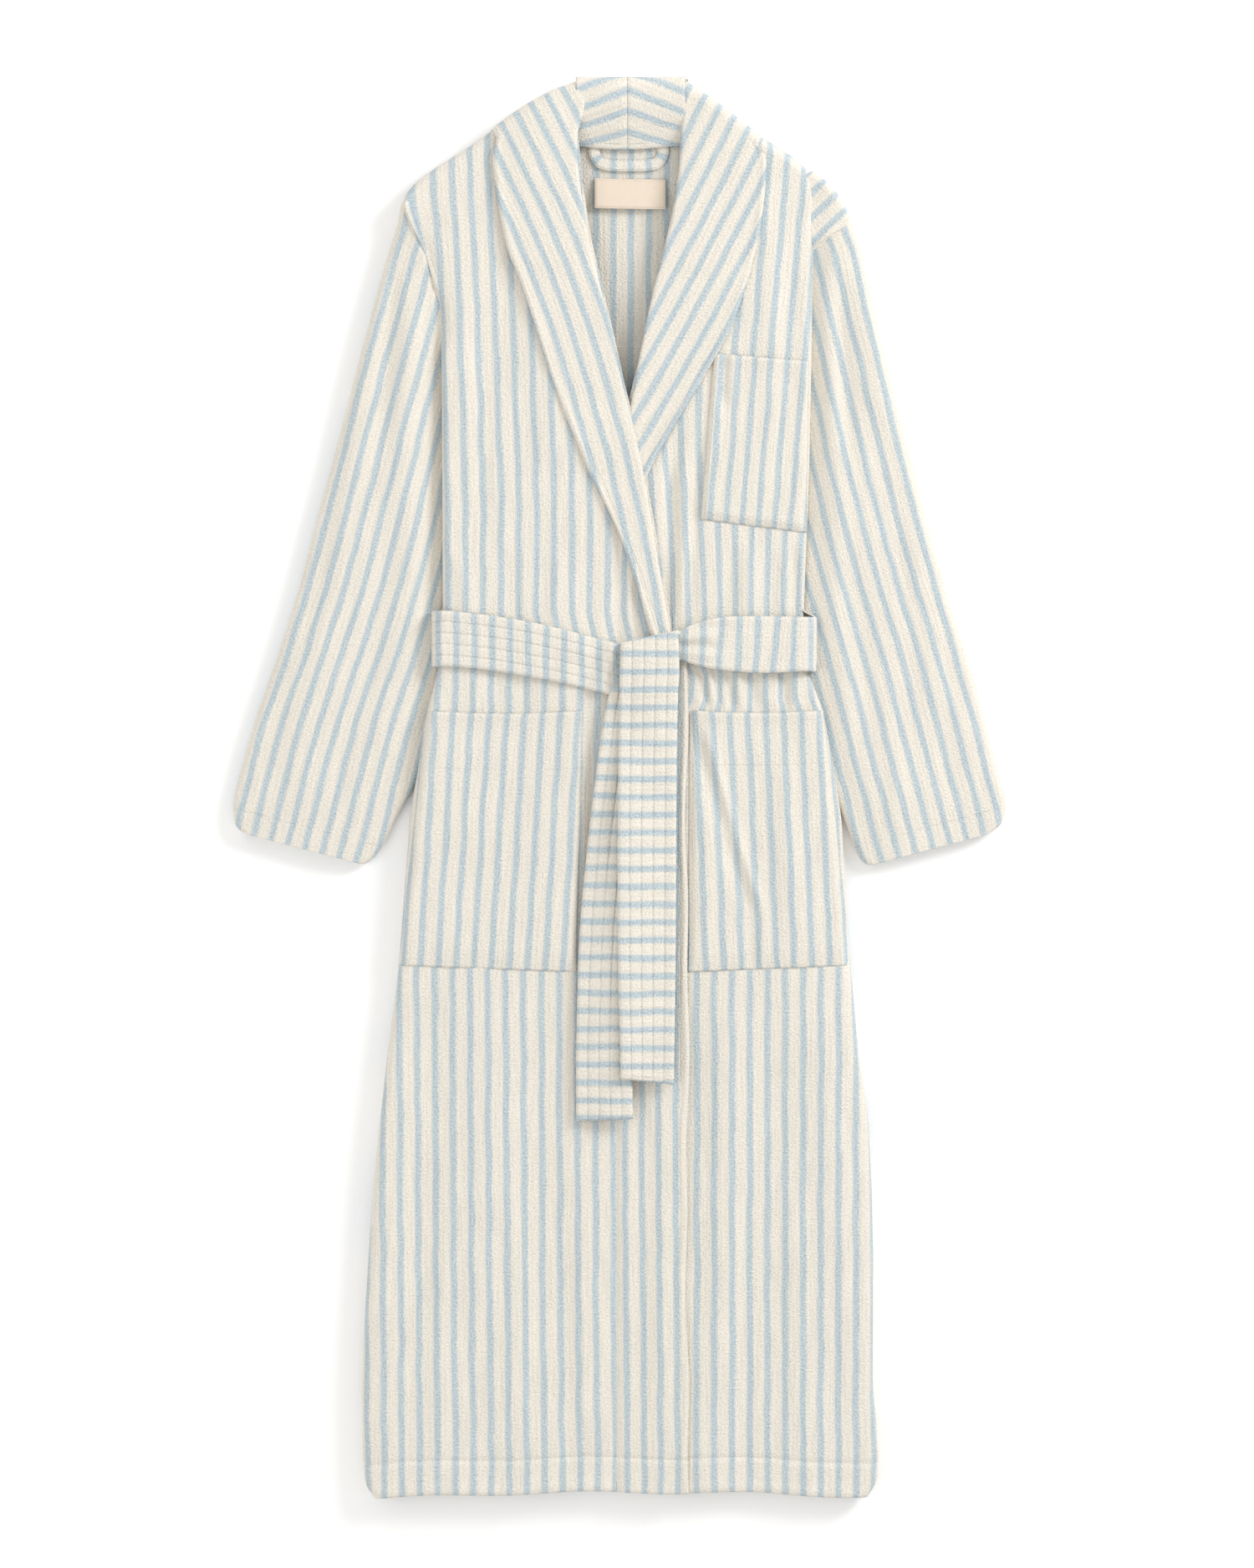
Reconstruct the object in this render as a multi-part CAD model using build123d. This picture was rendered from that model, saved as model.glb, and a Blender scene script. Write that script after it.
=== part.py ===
"""Bathrobe laid out on its back, belt tied: flat cloth panels, sleeves, shawl collar, pockets and belt.

Millimetres. +Y runs up the robe to the collar, +X to the wearer's left, +Z out of the front.
While it is drawn, x is measured from the centre back seam and a depth is measured down the robe
from the top of the collar. place() then moves every piece so that the origin is at the bottom centre.
"""

from build123d import *
import math
import os

# ---------------------------------------------------------------- driving dimensions
ROBE_LENGTH = 1276.0  # top of the collar to the hem
CLOTH = 3.5  # thickness of one layer of pressed terry
GAP = 0.3  # clearance between layers that lie on each other
BODY_ROOM = 12.0  # free height inside the body, above the back panel
EDGE_RADIUS = 11.0  # outer radius of the rounded side folds

SHOULDER_HALF = 200.0  # centre to shoulder tip
SHOULDER_DEPTH = 114.0
NECK_POINT_HALF = 70.0  # where the shoulder seam meets the collar
NECK_POINT_DEPTH = 18.0
NECK_HALF = 45.0  # half the width of the neck opening
NECK_DEPTH = 58.0  # back neck seam
ARMPIT_HALF = 166.0
ARMPIT_DEPTH = 202.0
WAIST_HALF = 163.0
WAIST_DEPTH = 481.0
MOUTH_HALF = 174.0  # half width at the hip pocket mouths
HIP_HALF = 196.0
HIP_BELOW_WAIST = 214.0
SKIRT_HALF = 207.0
SKIRT_BELOW_WAIST = 334.0
CALF_HALF = 226.0  # half way between the skirt line and the hem
HEM_HALF = 232.0

SLEEVE_LENGTH = 566.0  # shoulder tip to the outer corner of the cuff
SLEEVE_HEIGHT = 18.0
CUFF_WIDTH = 134.0
CUFF_SLOPE = 20.0  # degrees that the cuff rises outwards
RIGHT_SLEEVE_ANGLE = 15.6  # degrees that the outer edge leans out
LEFT_SLEEVE_ANGLE = 14.6
SLEEVE_TUCK = 70.0  # how far above the cuff the underarm edge meets the body
SLEEVE_CLEARANCE = 12.0  # between the sleeve and the side of the body, which the belt needs

ROLL_END = 40.0  # how far past the centre each collar's roll line has crossed at the waist
ROLL_END_DEPTH = 490.0
COLLAR_WIDTH = 78.0  # width of the turned-down collar on the chest
COLLAR_CORNER_DEPTH = 147.0  # where the outer edge leaves the shoulder and runs to the waist
COLLAR_FOOT = 23.0  # width of the right lapel where it goes under the belt
COLLAR_FALL = 80.0  # how far the collar hangs down behind the neck
LAPEL_END_GAP = 7.0  # between the right lapel's foot and the belt
LAPEL_CROSSING_GAP = 25.0  # the left lapel turns freely down to this far above the crossing
LAPEL_REACH = 44.0  # width of the left lapel where its turning part ends
BAND_WIDTH = 63.5
OVERLAP_HALF = 55.5  # each front edge lies this far past the centre

BELT_WIDTH = 49.0
BELT_CLOTH = 4.5
BELT_SIDE_DEPTH = 480.0  # upper edge of the belt at the sides
BELT_KNOT_DROP = 32.0  # how much lower the right half of the belt is at the knot
KNOT_LEFT = 53.0
KNOT_RIGHT = 7.0
KNOT_RISE = 16.0  # of the knot above the belt
UPPER_TAIL = 342.0
LOWER_TAIL = 377.0
TAIL_WIDTH = 52.0
LOWER_TAIL_ANGLE = 3.75
TAIL_CENTRE = 20.0
LOOP_WIDTH = 9.0  # belt loops
LOOP_CLOTH = 1.6
LOOP_MARGIN = 9.0  # past each edge of the belt

POCKET_ROOM = 4.6
POCKET_WALL = 3.0
HIP_POCKET_BELOW_WAIST = 87.0
HIP_POCKET_DEPTH = 234.0
RIGHT_POCKET_INNER = -38.0
LEFT_POCKET_INNER = 58.0
CHEST_POCKET_WIDTH = 92.0
CHEST_POCKET_DEPTH = 154.0
CHEST_POCKET_OUTER = 162.0
CHEST_POCKET_TOP = 250.0
CHEST_POCKET_TURN = -4.0  # degrees

HANGER_WIDTH = 74.0
HANGER_DROP = 23.0
HANGER_BAND = 12.0
HANGER_CLOTH = 2.5
HANGER_CENTRE = 4.0
LABEL_WIDTH = 64.0
LABEL_HEIGHT = 27.0
LABEL_CLOTH = 0.8
LABEL_DEPTH = 92.0

CORNER_HEIGHT = 326.0  # the front corner that turns back, up the front edge
CORNER_WIDTH = 194.0  # and along the hem
CORNER_GAP = 1.2  # between the corner and the rest of the panel

# ---------------------------------------------------------------- levels above the floor
BELT_RAISE = BELT_CLOTH + 0.5  # the back panel rides over the belt behind it
FALL_RAISE = CLOTH + 0.5  # and over the fall of the collar
LEFT_UNDER = CLOTH + BODY_ROOM
LEFT_TOP = LEFT_UNDER + CLOTH
RIGHT_UNDER = LEFT_TOP + GAP
RIGHT_TOP = RIGHT_UNDER + CLOTH
LAPEL_UNDER = RIGHT_TOP + GAP
BELT_UNDER = RIGHT_TOP + 0.5
BELT_TOP = BELT_UNDER + BELT_CLOTH
RIGHT_POCKET_TOP = RIGHT_TOP + POCKET_ROOM + CLOTH
LOWER_TAIL_UNDER = RIGHT_POCKET_TOP + 0.4
UPPER_TAIL_UNDER = LOWER_TAIL_UNDER + BELT_CLOTH + 0.5
KNOT_TOP = max(BELT_TOP + KNOT_RISE, UPPER_TAIL_UNDER + BELT_CLOTH)

HIP_DEPTH = WAIST_DEPTH + HIP_BELOW_WAIST
SKIRT_DEPTH = WAIST_DEPTH + SKIRT_BELOW_WAIST
MOUTH_DEPTH = WAIST_DEPTH + HIP_POCKET_BELOW_WAIST
CALF_DEPTH = (SKIRT_DEPTH + ROBE_LENGTH) / 2
BELT_LOW_DEPTH = BELT_SIDE_DEPTH + BELT_WIDTH
FRONT_JOIN_DEPTH = BELT_LOW_DEPTH - 8.0  # hidden under the belt, where lapel becomes front band
BAND_SEAM = OVERLAP_HALF - BAND_WIDTH  # x of the seam between panel and band on the right front

# half widths of the body at depths down the side, from shoulder seam to hem
SHOULDER_LINE = [(NECK_POINT_DEPTH, NECK_POINT_HALF), (SHOULDER_DEPTH, SHOULDER_HALF)]
SIDE_LINE = [
    (ARMPIT_DEPTH, ARMPIT_HALF),
    (WAIST_DEPTH, WAIST_HALF),
    (MOUTH_DEPTH, MOUTH_HALF),
    (HIP_DEPTH, HIP_HALF),
    (SKIRT_DEPTH, SKIRT_HALF),
    (CALF_DEPTH, CALF_HALF),
    (ROBE_LENGTH, HEM_HALF),
]


def between(line, depth):
    """The half width at a depth, straight between the named points of a line."""
    for (d0, w0), (d1, w1) in zip(line, line[1:]):
        if depth <= d1:
            break
    return w0 + (w1 - w0) * (depth - d0) / (d1 - d0)


def body_half(depth):
    """Half the width of the body at a depth."""
    return between(SHOULDER_LINE + SIDE_LINE, depth)


def roll_x(depth, side):
    """x of a collar's roll line: side -1 is the wearer's right, +1 the left."""
    if depth <= NECK_DEPTH:
        return side * NECK_HALF
    run = (depth - NECK_DEPTH) / (ROLL_END_DEPTH - NECK_DEPTH)
    return side * (NECK_HALF - (NECK_HALF + ROLL_END) * run)


def slab(points, low, thick):
    """A flat plate from an outline of (x, depth) points."""
    outline = make_face(Polyline(*[(x, -d) for x, d in points], close=True))
    return Pos(0, 0, low) * extrude(outline, amount=thick)


def along_x(profile_edges, x0, x1):
    """A solid whose side view, (depth, z) edges, is the same from x0 to x1."""
    view = Plane(origin=(x0, 0, 0), x_dir=(0, -1, 0), z_dir=(-1, 0, 0))
    return extrude(view * make_face(profile_edges), amount=-(x1 - x0))


# ---------------------------------------------------------------- back panel
def back_line():
    """(depth, underside height) down the back, with the rises over collar fall and belt."""
    ramp = 25.0
    fall = COLLAR_FALL + 5.0
    high, low = BELT_SIDE_DEPTH - 5.0, BELT_LOW_DEPTH + 5.0
    return [
        (0.0, FALL_RAISE),
        (fall, FALL_RAISE),
        (fall + ramp, 0.0),
        (high - ramp, 0.0),
        (high, BELT_RAISE),
        (low, BELT_RAISE),
        (low + ramp, 0.0),
        (ROBE_LENGTH, 0.0),
    ]


def back_height(depth):
    """Height of the back panel's upper face at a depth."""
    return between(back_line(), depth) + CLOTH


def back_panel():
    """Full-length back, seamed to the fronts all round; it lies on the floor."""
    line = back_line()
    top = [(d, z + CLOTH) for d, z in reversed(line)]
    sheet = along_x(Polyline(*line, *top, close=True), -2 * HEM_HALF, 2 * HEM_HALF)
    right = [(-w, d) for d, w in SHOULDER_LINE + SIDE_LINE]
    left = [(w, d) for d, w in reversed(SHOULDER_LINE + SIDE_LINE)]
    neck = [(NECK_HALF, NECK_DEPTH), (-NECK_HALF, NECK_DEPTH)]
    return sheet & slab(right + left + neck, -1, CLOTH + BELT_RAISE + 2)


# ---------------------------------------------------------------- front panels
def front_section(depth, side, edge, top):
    """Cross-section of a front: side wall, rounded fold and flat cloth to its front edge at x = edge."""
    outer = side * body_half(depth)
    inner = outer - side * CLOTH
    bend = outer - side * EDGE_RADIUS
    low, fold = 0.0, top - EDGE_RADIUS
    turn = EDGE_RADIUS * math.sqrt(0.5)
    small = (EDGE_RADIUS - CLOTH) * math.sqrt(0.5)
    edges = [
        Line((outer, low), (outer, fold)),
        ThreePointArc((outer, fold), (bend + side * turn, fold + turn), (bend, top)),
        Line((bend, top), (edge, top)),
        Line((edge, top), (edge, top - CLOTH)),
        Line((edge, top - CLOTH), (bend, top - CLOTH)),
        ThreePointArc((bend, top - CLOTH), (bend + side * small, fold + small), (inner, fold)),
        Line((inner, fold), (inner, low)),
        Line((inner, low), (outer, low)),
    ]
    view = Plane(origin=(0, -depth, 0), x_dir=(1, 0, 0), z_dir=(0, -1, 0))
    return view * make_face(edges)


def front_run(side, top, stations):
    """A front between (depth, edge x) stations, lofted section by section."""
    run = None
    for (d0, e0), (d1, e1) in zip(stations, stations[1:]):
        piece = loft([front_section(d0, side, e0, top), front_section(d1, side, e1, top)], ruled=True)
        run = piece if run is None else run + piece
    return run


def front_panel(side, top):
    """One front: rounded down at the side and shoulder on to the back panel, open at the armhole."""
    chest = [NECK_POINT_DEPTH, NECK_DEPTH, SHOULDER_DEPTH, ARMPIT_DEPTH, WAIST_DEPTH, FRONT_JOIN_DEPTH]
    skirt = [FRONT_JOIN_DEPTH] + [d for d, _ in SIDE_LINE if d > FRONT_JOIN_DEPTH]
    upper = front_run(side, top, [(d, roll_x(d, side)) for d in chest])
    lower = front_run(side, top, [(d, -side * BAND_SEAM) for d in skirt])
    line = back_line()
    below = along_x(
        Polyline((0, -5), *[(d, z + CLOTH) for d, z in line], (ROBE_LENGTH, -5), close=True),
        -2 * HEM_HALF,
        2 * HEM_HALF,
    )
    margin, reach = 6.0, 14.0
    armhole = [
        (side * (SHOULDER_HALF + reach), SHOULDER_DEPTH + margin),
        (side * (SHOULDER_HALF - reach), SHOULDER_DEPTH + margin),
        (side * (ARMPIT_HALF - reach), ARMPIT_DEPTH - margin),
        (side * (ARMPIT_HALF + reach), ARMPIT_DEPTH - margin),
    ]
    return upper + lower - below - slab(armhole, -1, top - CLOTH + 1)


def corner_points():
    """The turning corner's three points: on the front edge, on the hem, and the corner itself."""
    edge = (OVERLAP_HALF, ROBE_LENGTH - CORNER_HEIGHT)
    hem = (OVERLAP_HALF - CORNER_WIDTH, ROBE_LENGTH)
    return edge, hem, (OVERLAP_HALF, ROBE_LENGTH)


def corner_cutter(shift, grow):
    """A prism over the corner, its fold edge moved out by shift; grow widens the other sides."""
    edge, hem, corner = corner_points()
    length = math.dist(edge, hem)
    nx, nd = -(hem[1] - edge[1]) / length, (hem[0] - edge[0]) / length
    ux, ud = (hem[0] - edge[0]) / length, (hem[1] - edge[1]) / length
    start = (edge[0] + nx * shift - ux * grow, edge[1] + nd * shift - ud * grow)
    end = (hem[0] + nx * shift + ux * grow, hem[1] + nd * shift + ud * grow)
    out = (corner[0] + grow, corner[1] + grow)
    return slab([start, end, out], RIGHT_UNDER - 1, CLOTH + 2)


def right_front():
    """The right front panel without its turning corner, and the corner's share of it."""
    whole = front_panel(-1, RIGHT_TOP)
    panel = whole - corner_cutter(CORNER_GAP, 40)
    return panel, whole & corner_cutter(0, 0)


def right_band():
    """The front band below the belt, without its turning corner, and the corner's share of it."""
    whole = slab(
        [
            (BAND_SEAM, FRONT_JOIN_DEPTH + GAP),
            (OVERLAP_HALF, FRONT_JOIN_DEPTH + GAP),
            (OVERLAP_HALF, ROBE_LENGTH),
            (BAND_SEAM, ROBE_LENGTH),
        ],
        RIGHT_UNDER,
        CLOTH,
    )
    return whole - corner_cutter(CORNER_GAP, 40), whole & corner_cutter(0, 0)


def left_band():
    """The left front band, which lies under the right front."""
    return slab(
        [
            (-OVERLAP_HALF, FRONT_JOIN_DEPTH + GAP),
            (-BAND_SEAM, FRONT_JOIN_DEPTH + GAP),
            (-BAND_SEAM, ROBE_LENGTH),
            (-OVERLAP_HALF, ROBE_LENGTH),
        ],
        LEFT_UNDER,
        CLOTH,
    )


# ---------------------------------------------------------------- shawl collar
def across(depth, side, distance):
    """The point that lies a distance out from the roll line at a depth, square to it."""
    length = math.hypot(NECK_HALF + ROLL_END, ROLL_END_DEPTH - NECK_DEPTH)
    nx = (ROLL_END_DEPTH - NECK_DEPTH) / length
    nd = (NECK_HALF + ROLL_END) / length
    return roll_x(depth, side) + side * distance * nx, depth + distance * nd


def lapel_corner(side):
    """Where the outer edge of a lapel turns from the shoulder towards the waist."""
    return roll_x(COLLAR_CORNER_DEPTH, side) + side * COLLAR_WIDTH, COLLAR_CORNER_DEPTH


LAPEL_END_DEPTH = BELT_SIDE_DEPTH + BELT_KNOT_DROP / 2 - LAPEL_END_GAP - 6.0
CROSSING_DEPTH = NECK_DEPTH + (ROLL_END_DEPTH - NECK_DEPTH) * NECK_HALF / (NECK_HALF + ROLL_END)
LEFT_LAPEL_END = CROSSING_DEPTH - LAPEL_CROSSING_GAP


def right_lapel():
    """The right lapel, turned down over the right front from its roll line, both ends square to it."""
    corner = lapel_corner(-1)
    return slab(
        [
            (roll_x(NECK_DEPTH, -1), NECK_DEPTH),
            across(NECK_DEPTH, -1, COLLAR_WIDTH),
            corner,
            across(LAPEL_END_DEPTH, -1, COLLAR_FOOT),
            (roll_x(LAPEL_END_DEPTH, -1), LAPEL_END_DEPTH),
        ],
        LAPEL_UNDER,
        CLOTH,
    )


def left_lapel_edge(depth):
    """x of the left lapel's outer edge, straight on from its corner."""
    x0, d0 = lapel_corner(1)
    x1, d1 = across(LEFT_LAPEL_END, 1, LAPEL_REACH)
    return x0 + (x1 - x0) * (depth - d0) / (d1 - d0)


def left_lapel():
    """The part of the left lapel that turns, down to the level where the right lapel crosses it."""
    out_x, out_d = across(LEFT_LAPEL_END, 1, LAPEL_REACH)
    return slab(
        [
            (roll_x(NECK_DEPTH, 1), NECK_DEPTH),
            across(NECK_DEPTH, 1, COLLAR_WIDTH),
            lapel_corner(1),
            (out_x, out_d),
            (roll_x(LEFT_LAPEL_END, 1), LEFT_LAPEL_END),
        ],
        RIGHT_UNDER,
        CLOTH,
    )


def left_lapel_foot():
    """The foot of the left lapel, which goes in under the right lapel."""
    clear = 1.5
    square = LEFT_LAPEL_END + 0.8
    out_x, out_d = across(square, 1, LAPEL_REACH)
    low = out_d + 74.0
    return slab(
        [
            (roll_x(square, 1), square),
            (out_x, out_d),
            (left_lapel_edge(low), low),
            (roll_x(low, -1) + clear, low),
            (roll_x(CROSSING_DEPTH, -1) + clear, CROSSING_DEPTH),
        ],
        RIGHT_UNDER,
        CLOTH,
    )


def back_collar(side, under):
    """Half of the collar behind the neck: stand, roll at the top, fall behind, and its shoulder end."""
    radius = (under + CLOTH) / 2
    room = radius - CLOTH
    seam = FALL_RAISE + CLOTH + GAP
    stand = along_x(
        [
            Line((NECK_DEPTH, seam), (radius, under)),
            ThreePointArc((radius, under), (radius - room, radius), (radius, CLOTH)),
            Line((radius, CLOTH), (COLLAR_FALL, CLOTH)),
            Line((COLLAR_FALL, CLOTH), (COLLAR_FALL, 0)),
            Line((COLLAR_FALL, 0), (radius, 0)),
            ThreePointArc((radius, 0), (0, radius), (radius, 2 * radius)),
            Line((radius, 2 * radius), (NECK_DEPTH, seam + CLOTH)),
            Line((NECK_DEPTH, seam + CLOTH), (NECK_DEPTH, seam)),
        ],
        min(0, side * NECK_HALF),
        max(0, side * NECK_HALF),
    )
    rise, run = SHOULDER_DEPTH - NECK_POINT_DEPTH, SHOULDER_HALF - NECK_POINT_HALF
    slope = rise / run
    lift = 8.0  # of the collar's edge above the shoulder seam
    tip_half = NECK_HALF + COLLAR_WIDTH - 11.0
    top_near = (side * (NECK_HALF + 14.0), 4.0)
    top_far = (side * tip_half, NECK_POINT_DEPTH + (tip_half - NECK_POINT_HALF) * slope - lift)
    far_x, far_d = across(NECK_DEPTH, side, COLLAR_WIDTH)
    shoulder = slab(
        [
            (side * (NECK_HALF - 0.5), 2.5),
            top_near,
            top_far,
            (far_x, far_d - 1.0),
            (side * (NECK_HALF - 0.5), NECK_DEPTH - 1.0),
        ],
        under,
        CLOTH,
    )
    wall_in = 3.0
    near_in = (top_near[0] - side * 1.0, top_near[1] + wall_in + 1.0)
    far_in = (top_far[0] - side * 3.0, top_far[1] + wall_in)
    wall = slab([top_near, top_far, far_in, near_in], 0, under + 1.0)
    fall = slab(
        [
            (side * (NECK_HALF - 0.5), 4.0),
            top_near,
            top_far,
            (side * (tip_half - 8.0), COLLAR_FALL),
            (side * (NECK_HALF - 0.5), COLLAR_FALL),
        ],
        0,
        CLOTH,
    )
    return stand + shoulder + wall + fall


# ---------------------------------------------------------------- sleeves
def sleeve_corners(side, angle):
    """Outer and inner corner of a cuff as (x, depth)."""
    lean = math.radians(angle)
    slope = math.radians(CUFF_SLOPE)
    outer = (
        side * (SHOULDER_HALF + SLEEVE_LENGTH * math.sin(lean)),
        SHOULDER_DEPTH + SLEEVE_LENGTH * math.cos(lean),
    )
    inner = (outer[0] - side * CUFF_WIDTH * math.cos(slope), outer[1] + CUFF_WIDTH * math.sin(slope))
    return outer, inner


def tube_section(outer, inner, height):
    """A flattened tube's section, standing on the line from outer to inner, as (outside, inside) faces."""
    (x0, d0), (x1, d1) = outer, inner
    width = math.dist(outer, inner)
    view = Plane(
        origin=((x0 + x1) / 2, -(d0 + d1) / 2, height / 2),
        x_dir=((x1 - x0) / width, -(d1 - d0) / width, 0),
        z_dir=(-(d1 - d0) / width, -(x1 - x0) / width, 0),
    )
    return (
        view * RectangleRounded(width, height, height / 2 - 0.1),
        view * RectangleRounded(width - 2 * CLOTH, height - 2 * CLOTH, height / 2 - CLOTH - 0.1),
    )


def sleeve(side, angle):
    """A flattened tube from the armhole to the cuff, open at both ends, clear of the body and belt."""
    cuff_outer, cuff_inner = sleeve_corners(side, angle)
    tuck_depth = cuff_inner[1] - SLEEVE_TUCK
    clear = 1.0

    def station(share, inner_depth, away):
        outer = (
            side * SHOULDER_HALF + (cuff_outer[0] - side * SHOULDER_HALF) * share,
            SHOULDER_DEPTH + (cuff_outer[1] - SHOULDER_DEPTH) * share,
        )
        return outer, (side * (body_half(inner_depth) + away), inner_depth)

    shares = [0.2, 0.45, 0.68]
    depths = [
        ARMPIT_DEPTH + (tuck_depth - ARMPIT_DEPTH) * s for s in (0.2, 0.5, 0.76)
    ]
    line = [
        (
            (side * (SHOULDER_HALF + clear), SHOULDER_DEPTH + 2.0),
            (side * (ARMPIT_HALF + clear + 1.0), ARMPIT_DEPTH + 1.0),
        ),
        *[station(s, d, SLEEVE_CLEARANCE) for s, d in zip(shares, depths)],
        (
            (cuff_outer[0] - side * 0.12 * (abs(cuff_outer[0]) - SHOULDER_HALF),
             cuff_outer[1] - 0.12 * (cuff_outer[1] - SHOULDER_DEPTH)),
            (side * (body_half(tuck_depth) + SLEEVE_CLEARANCE), tuck_depth),
        ),
        (cuff_outer, cuff_inner),
    ]
    tube = None
    for (o0, i0), (o1, i1) in zip(line, line[1:]):
        out0, in0 = tube_section(o0, i0, SLEEVE_HEIGHT)
        out1, in1 = tube_section(o1, i1, SLEEVE_HEIGHT)
        piece = loft([out0, out1], ruled=True) - loft([in0, in1], ruled=True)
        tube = piece if tube is None else tube + piece
    return tube


# ---------------------------------------------------------------- pockets
def pocket(points, top, seat, mouth_out):
    """A patch pocket from its four corners, the first two along the mouth: sewn down on three sides."""
    body = slab(points, seat, top - seat)
    (x0, d0), (x1, d1), (x2, d2), (x3, d3) = points
    turn = 1 if x1 > x0 else -1
    room = slab(
        [
            (x0 + turn * POCKET_WALL, d0 - mouth_out),
            (x1 - turn * POCKET_WALL, d1 - mouth_out),
            (x2 - turn * POCKET_WALL, d2 - POCKET_WALL),
            (x3 + turn * POCKET_WALL, d3 - POCKET_WALL),
        ],
        seat - 1,
        POCKET_ROOM + 1,
    )
    return body - room


def hip_pocket(side, inner, seat):
    """A hip pocket, from near the front edge out to the side fold."""
    low = MOUTH_DEPTH + HIP_POCKET_DEPTH
    inset = 2.0
    corners = [
        (inner, MOUTH_DEPTH),
        (side * (body_half(MOUTH_DEPTH) - inset), MOUTH_DEPTH),
        (side * (body_half(low) - inset), low),
        (inner, low),
    ]
    return pocket(corners, seat + POCKET_ROOM + CLOTH, seat, 2.0)


def chest_pocket():
    """The chest pocket on the left front, turned a little."""
    turn = math.radians(CHEST_POCKET_TURN)
    down = (-math.sin(-turn), math.cos(turn))
    along = (-math.cos(turn), math.sin(turn))
    x1, d1 = CHEST_POCKET_OUTER, CHEST_POCKET_TOP
    x0, d0 = x1 + along[0] * CHEST_POCKET_WIDTH, d1 + along[1] * CHEST_POCKET_WIDTH
    corners = [
        (x0, d0),
        (x1, d1),
        (x1 + down[0] * CHEST_POCKET_DEPTH, d1 + down[1] * CHEST_POCKET_DEPTH),
        (x0 + down[0] * CHEST_POCKET_DEPTH, d0 + down[1] * CHEST_POCKET_DEPTH),
    ]
    return pocket(corners, LEFT_TOP + POCKET_ROOM + CLOTH, LEFT_TOP, 2.0)


# ---------------------------------------------------------------- belt
def belt_side():
    """Inner face of the belt at the side of the body."""
    return max(body_half(BELT_SIDE_DEPTH), body_half(BELT_LOW_DEPTH)) + 0.6


def belt_waistband():
    """The belt round the waist: behind the back panel, round both sides and across to the knot."""
    inner = belt_side()
    outer = inner + BELT_CLOTH
    high, low = BELT_SIDE_DEPTH, BELT_LOW_DEPTH
    view = Plane(origin=(0, -low, 0), x_dir=(1, 0, 0), z_dir=(0, -1, 0))
    height = BELT_TOP
    outside = view * Pos(0, height / 2) * RectangleRounded(2 * outer, height, BELT_CLOTH + 1)
    inside = view * Pos(0, height / 2) * Rectangle(2 * inner, height - 2 * BELT_CLOTH)
    ring = extrude(outside - inside, amount=-BELT_WIDTH)
    run_in = inner - 6.0
    ring -= slab(
        [(-run_in, high - 5), (run_in, high - 5), (run_in, low + 5), (-run_in, low + 5)],
        BELT_UNDER - 1,
        BELT_CLOTH + 2,
    )
    drop = BELT_KNOT_DROP
    right = slab(
        [(-run_in, high), (-KNOT_RIGHT, high + drop), (-KNOT_RIGHT, low + drop * 0.85), (-run_in, low)],
        BELT_UNDER,
        BELT_CLOTH,
    )
    pinch = 10.0
    left = slab(
        [(run_in, high), (KNOT_LEFT, high + pinch), (KNOT_LEFT, low - pinch * 0.4), (run_in, low)],
        BELT_UNDER,
        BELT_CLOTH,
    )
    return ring + right + left


def belt_knot():
    """The half knot: a soft lump that both halves of the belt run into."""
    high = BELT_SIDE_DEPTH + 12.0
    low = BELT_LOW_DEPTH + BELT_KNOT_DROP * 0.85
    lump = slab(
        [(-KNOT_RIGHT, high), (KNOT_LEFT, high), (KNOT_LEFT, low), (-KNOT_RIGHT, low)],
        BELT_UNDER,
        KNOT_TOP - BELT_UNDER,
    )
    return chamfer(lump.edges().group_by(Axis.Z)[-1], 5.0)


def tail(length, angle, under):
    """A belt end, straight down from the knot, turned about the knot's centre by angle."""
    start = BELT_LOW_DEPTH + BELT_KNOT_DROP * 0.85
    pivot = (TAIL_CENTRE, start - 30.0)
    turn = math.radians(angle)

    def turned(across_x, down_d):
        return (
            pivot[0] + across_x * math.cos(turn) - down_d * math.sin(turn),
            pivot[1] + across_x * math.sin(turn) + down_d * math.cos(turn),
        )

    half = TAIL_WIDTH / 2
    first = 30.0 + math.tan(abs(turn) + math.radians(14)) * half + 2.0
    last = 30.0 + length
    return slab(
        [turned(-half, first), turned(half, first), turned(half, last), turned(-half, last)],
        under,
        BELT_CLOTH,
    )


def belt_loop(side):
    """A sewn loop at the side seam that holds the belt up."""
    near = belt_side() - 0.6
    reach = BELT_CLOTH + 1.2
    low_z, high_z = 8.0, 8.0 + LOOP_WIDTH
    high = BELT_SIDE_DEPTH - LOOP_MARGIN
    low = BELT_LOW_DEPTH + LOOP_MARGIN
    foot = 5.0
    at_high, at_low = body_half(high), body_half(low)
    bar = slab(
        [
            (side * at_high, high),
            (side * (near + reach + LOOP_CLOTH), high + foot),
            (side * (near + reach + LOOP_CLOTH), low - foot),
            (side * at_low, low),
            (side * (at_low + 0.2), low - LOOP_CLOTH * 2),
            (side * (near + reach), low - foot - LOOP_CLOTH),
            (side * (near + reach), high + foot + LOOP_CLOTH),
            (side * (at_high + 0.2), high + LOOP_CLOTH * 2),
        ],
        low_z,
        high_z - low_z,
    )
    return bar


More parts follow.
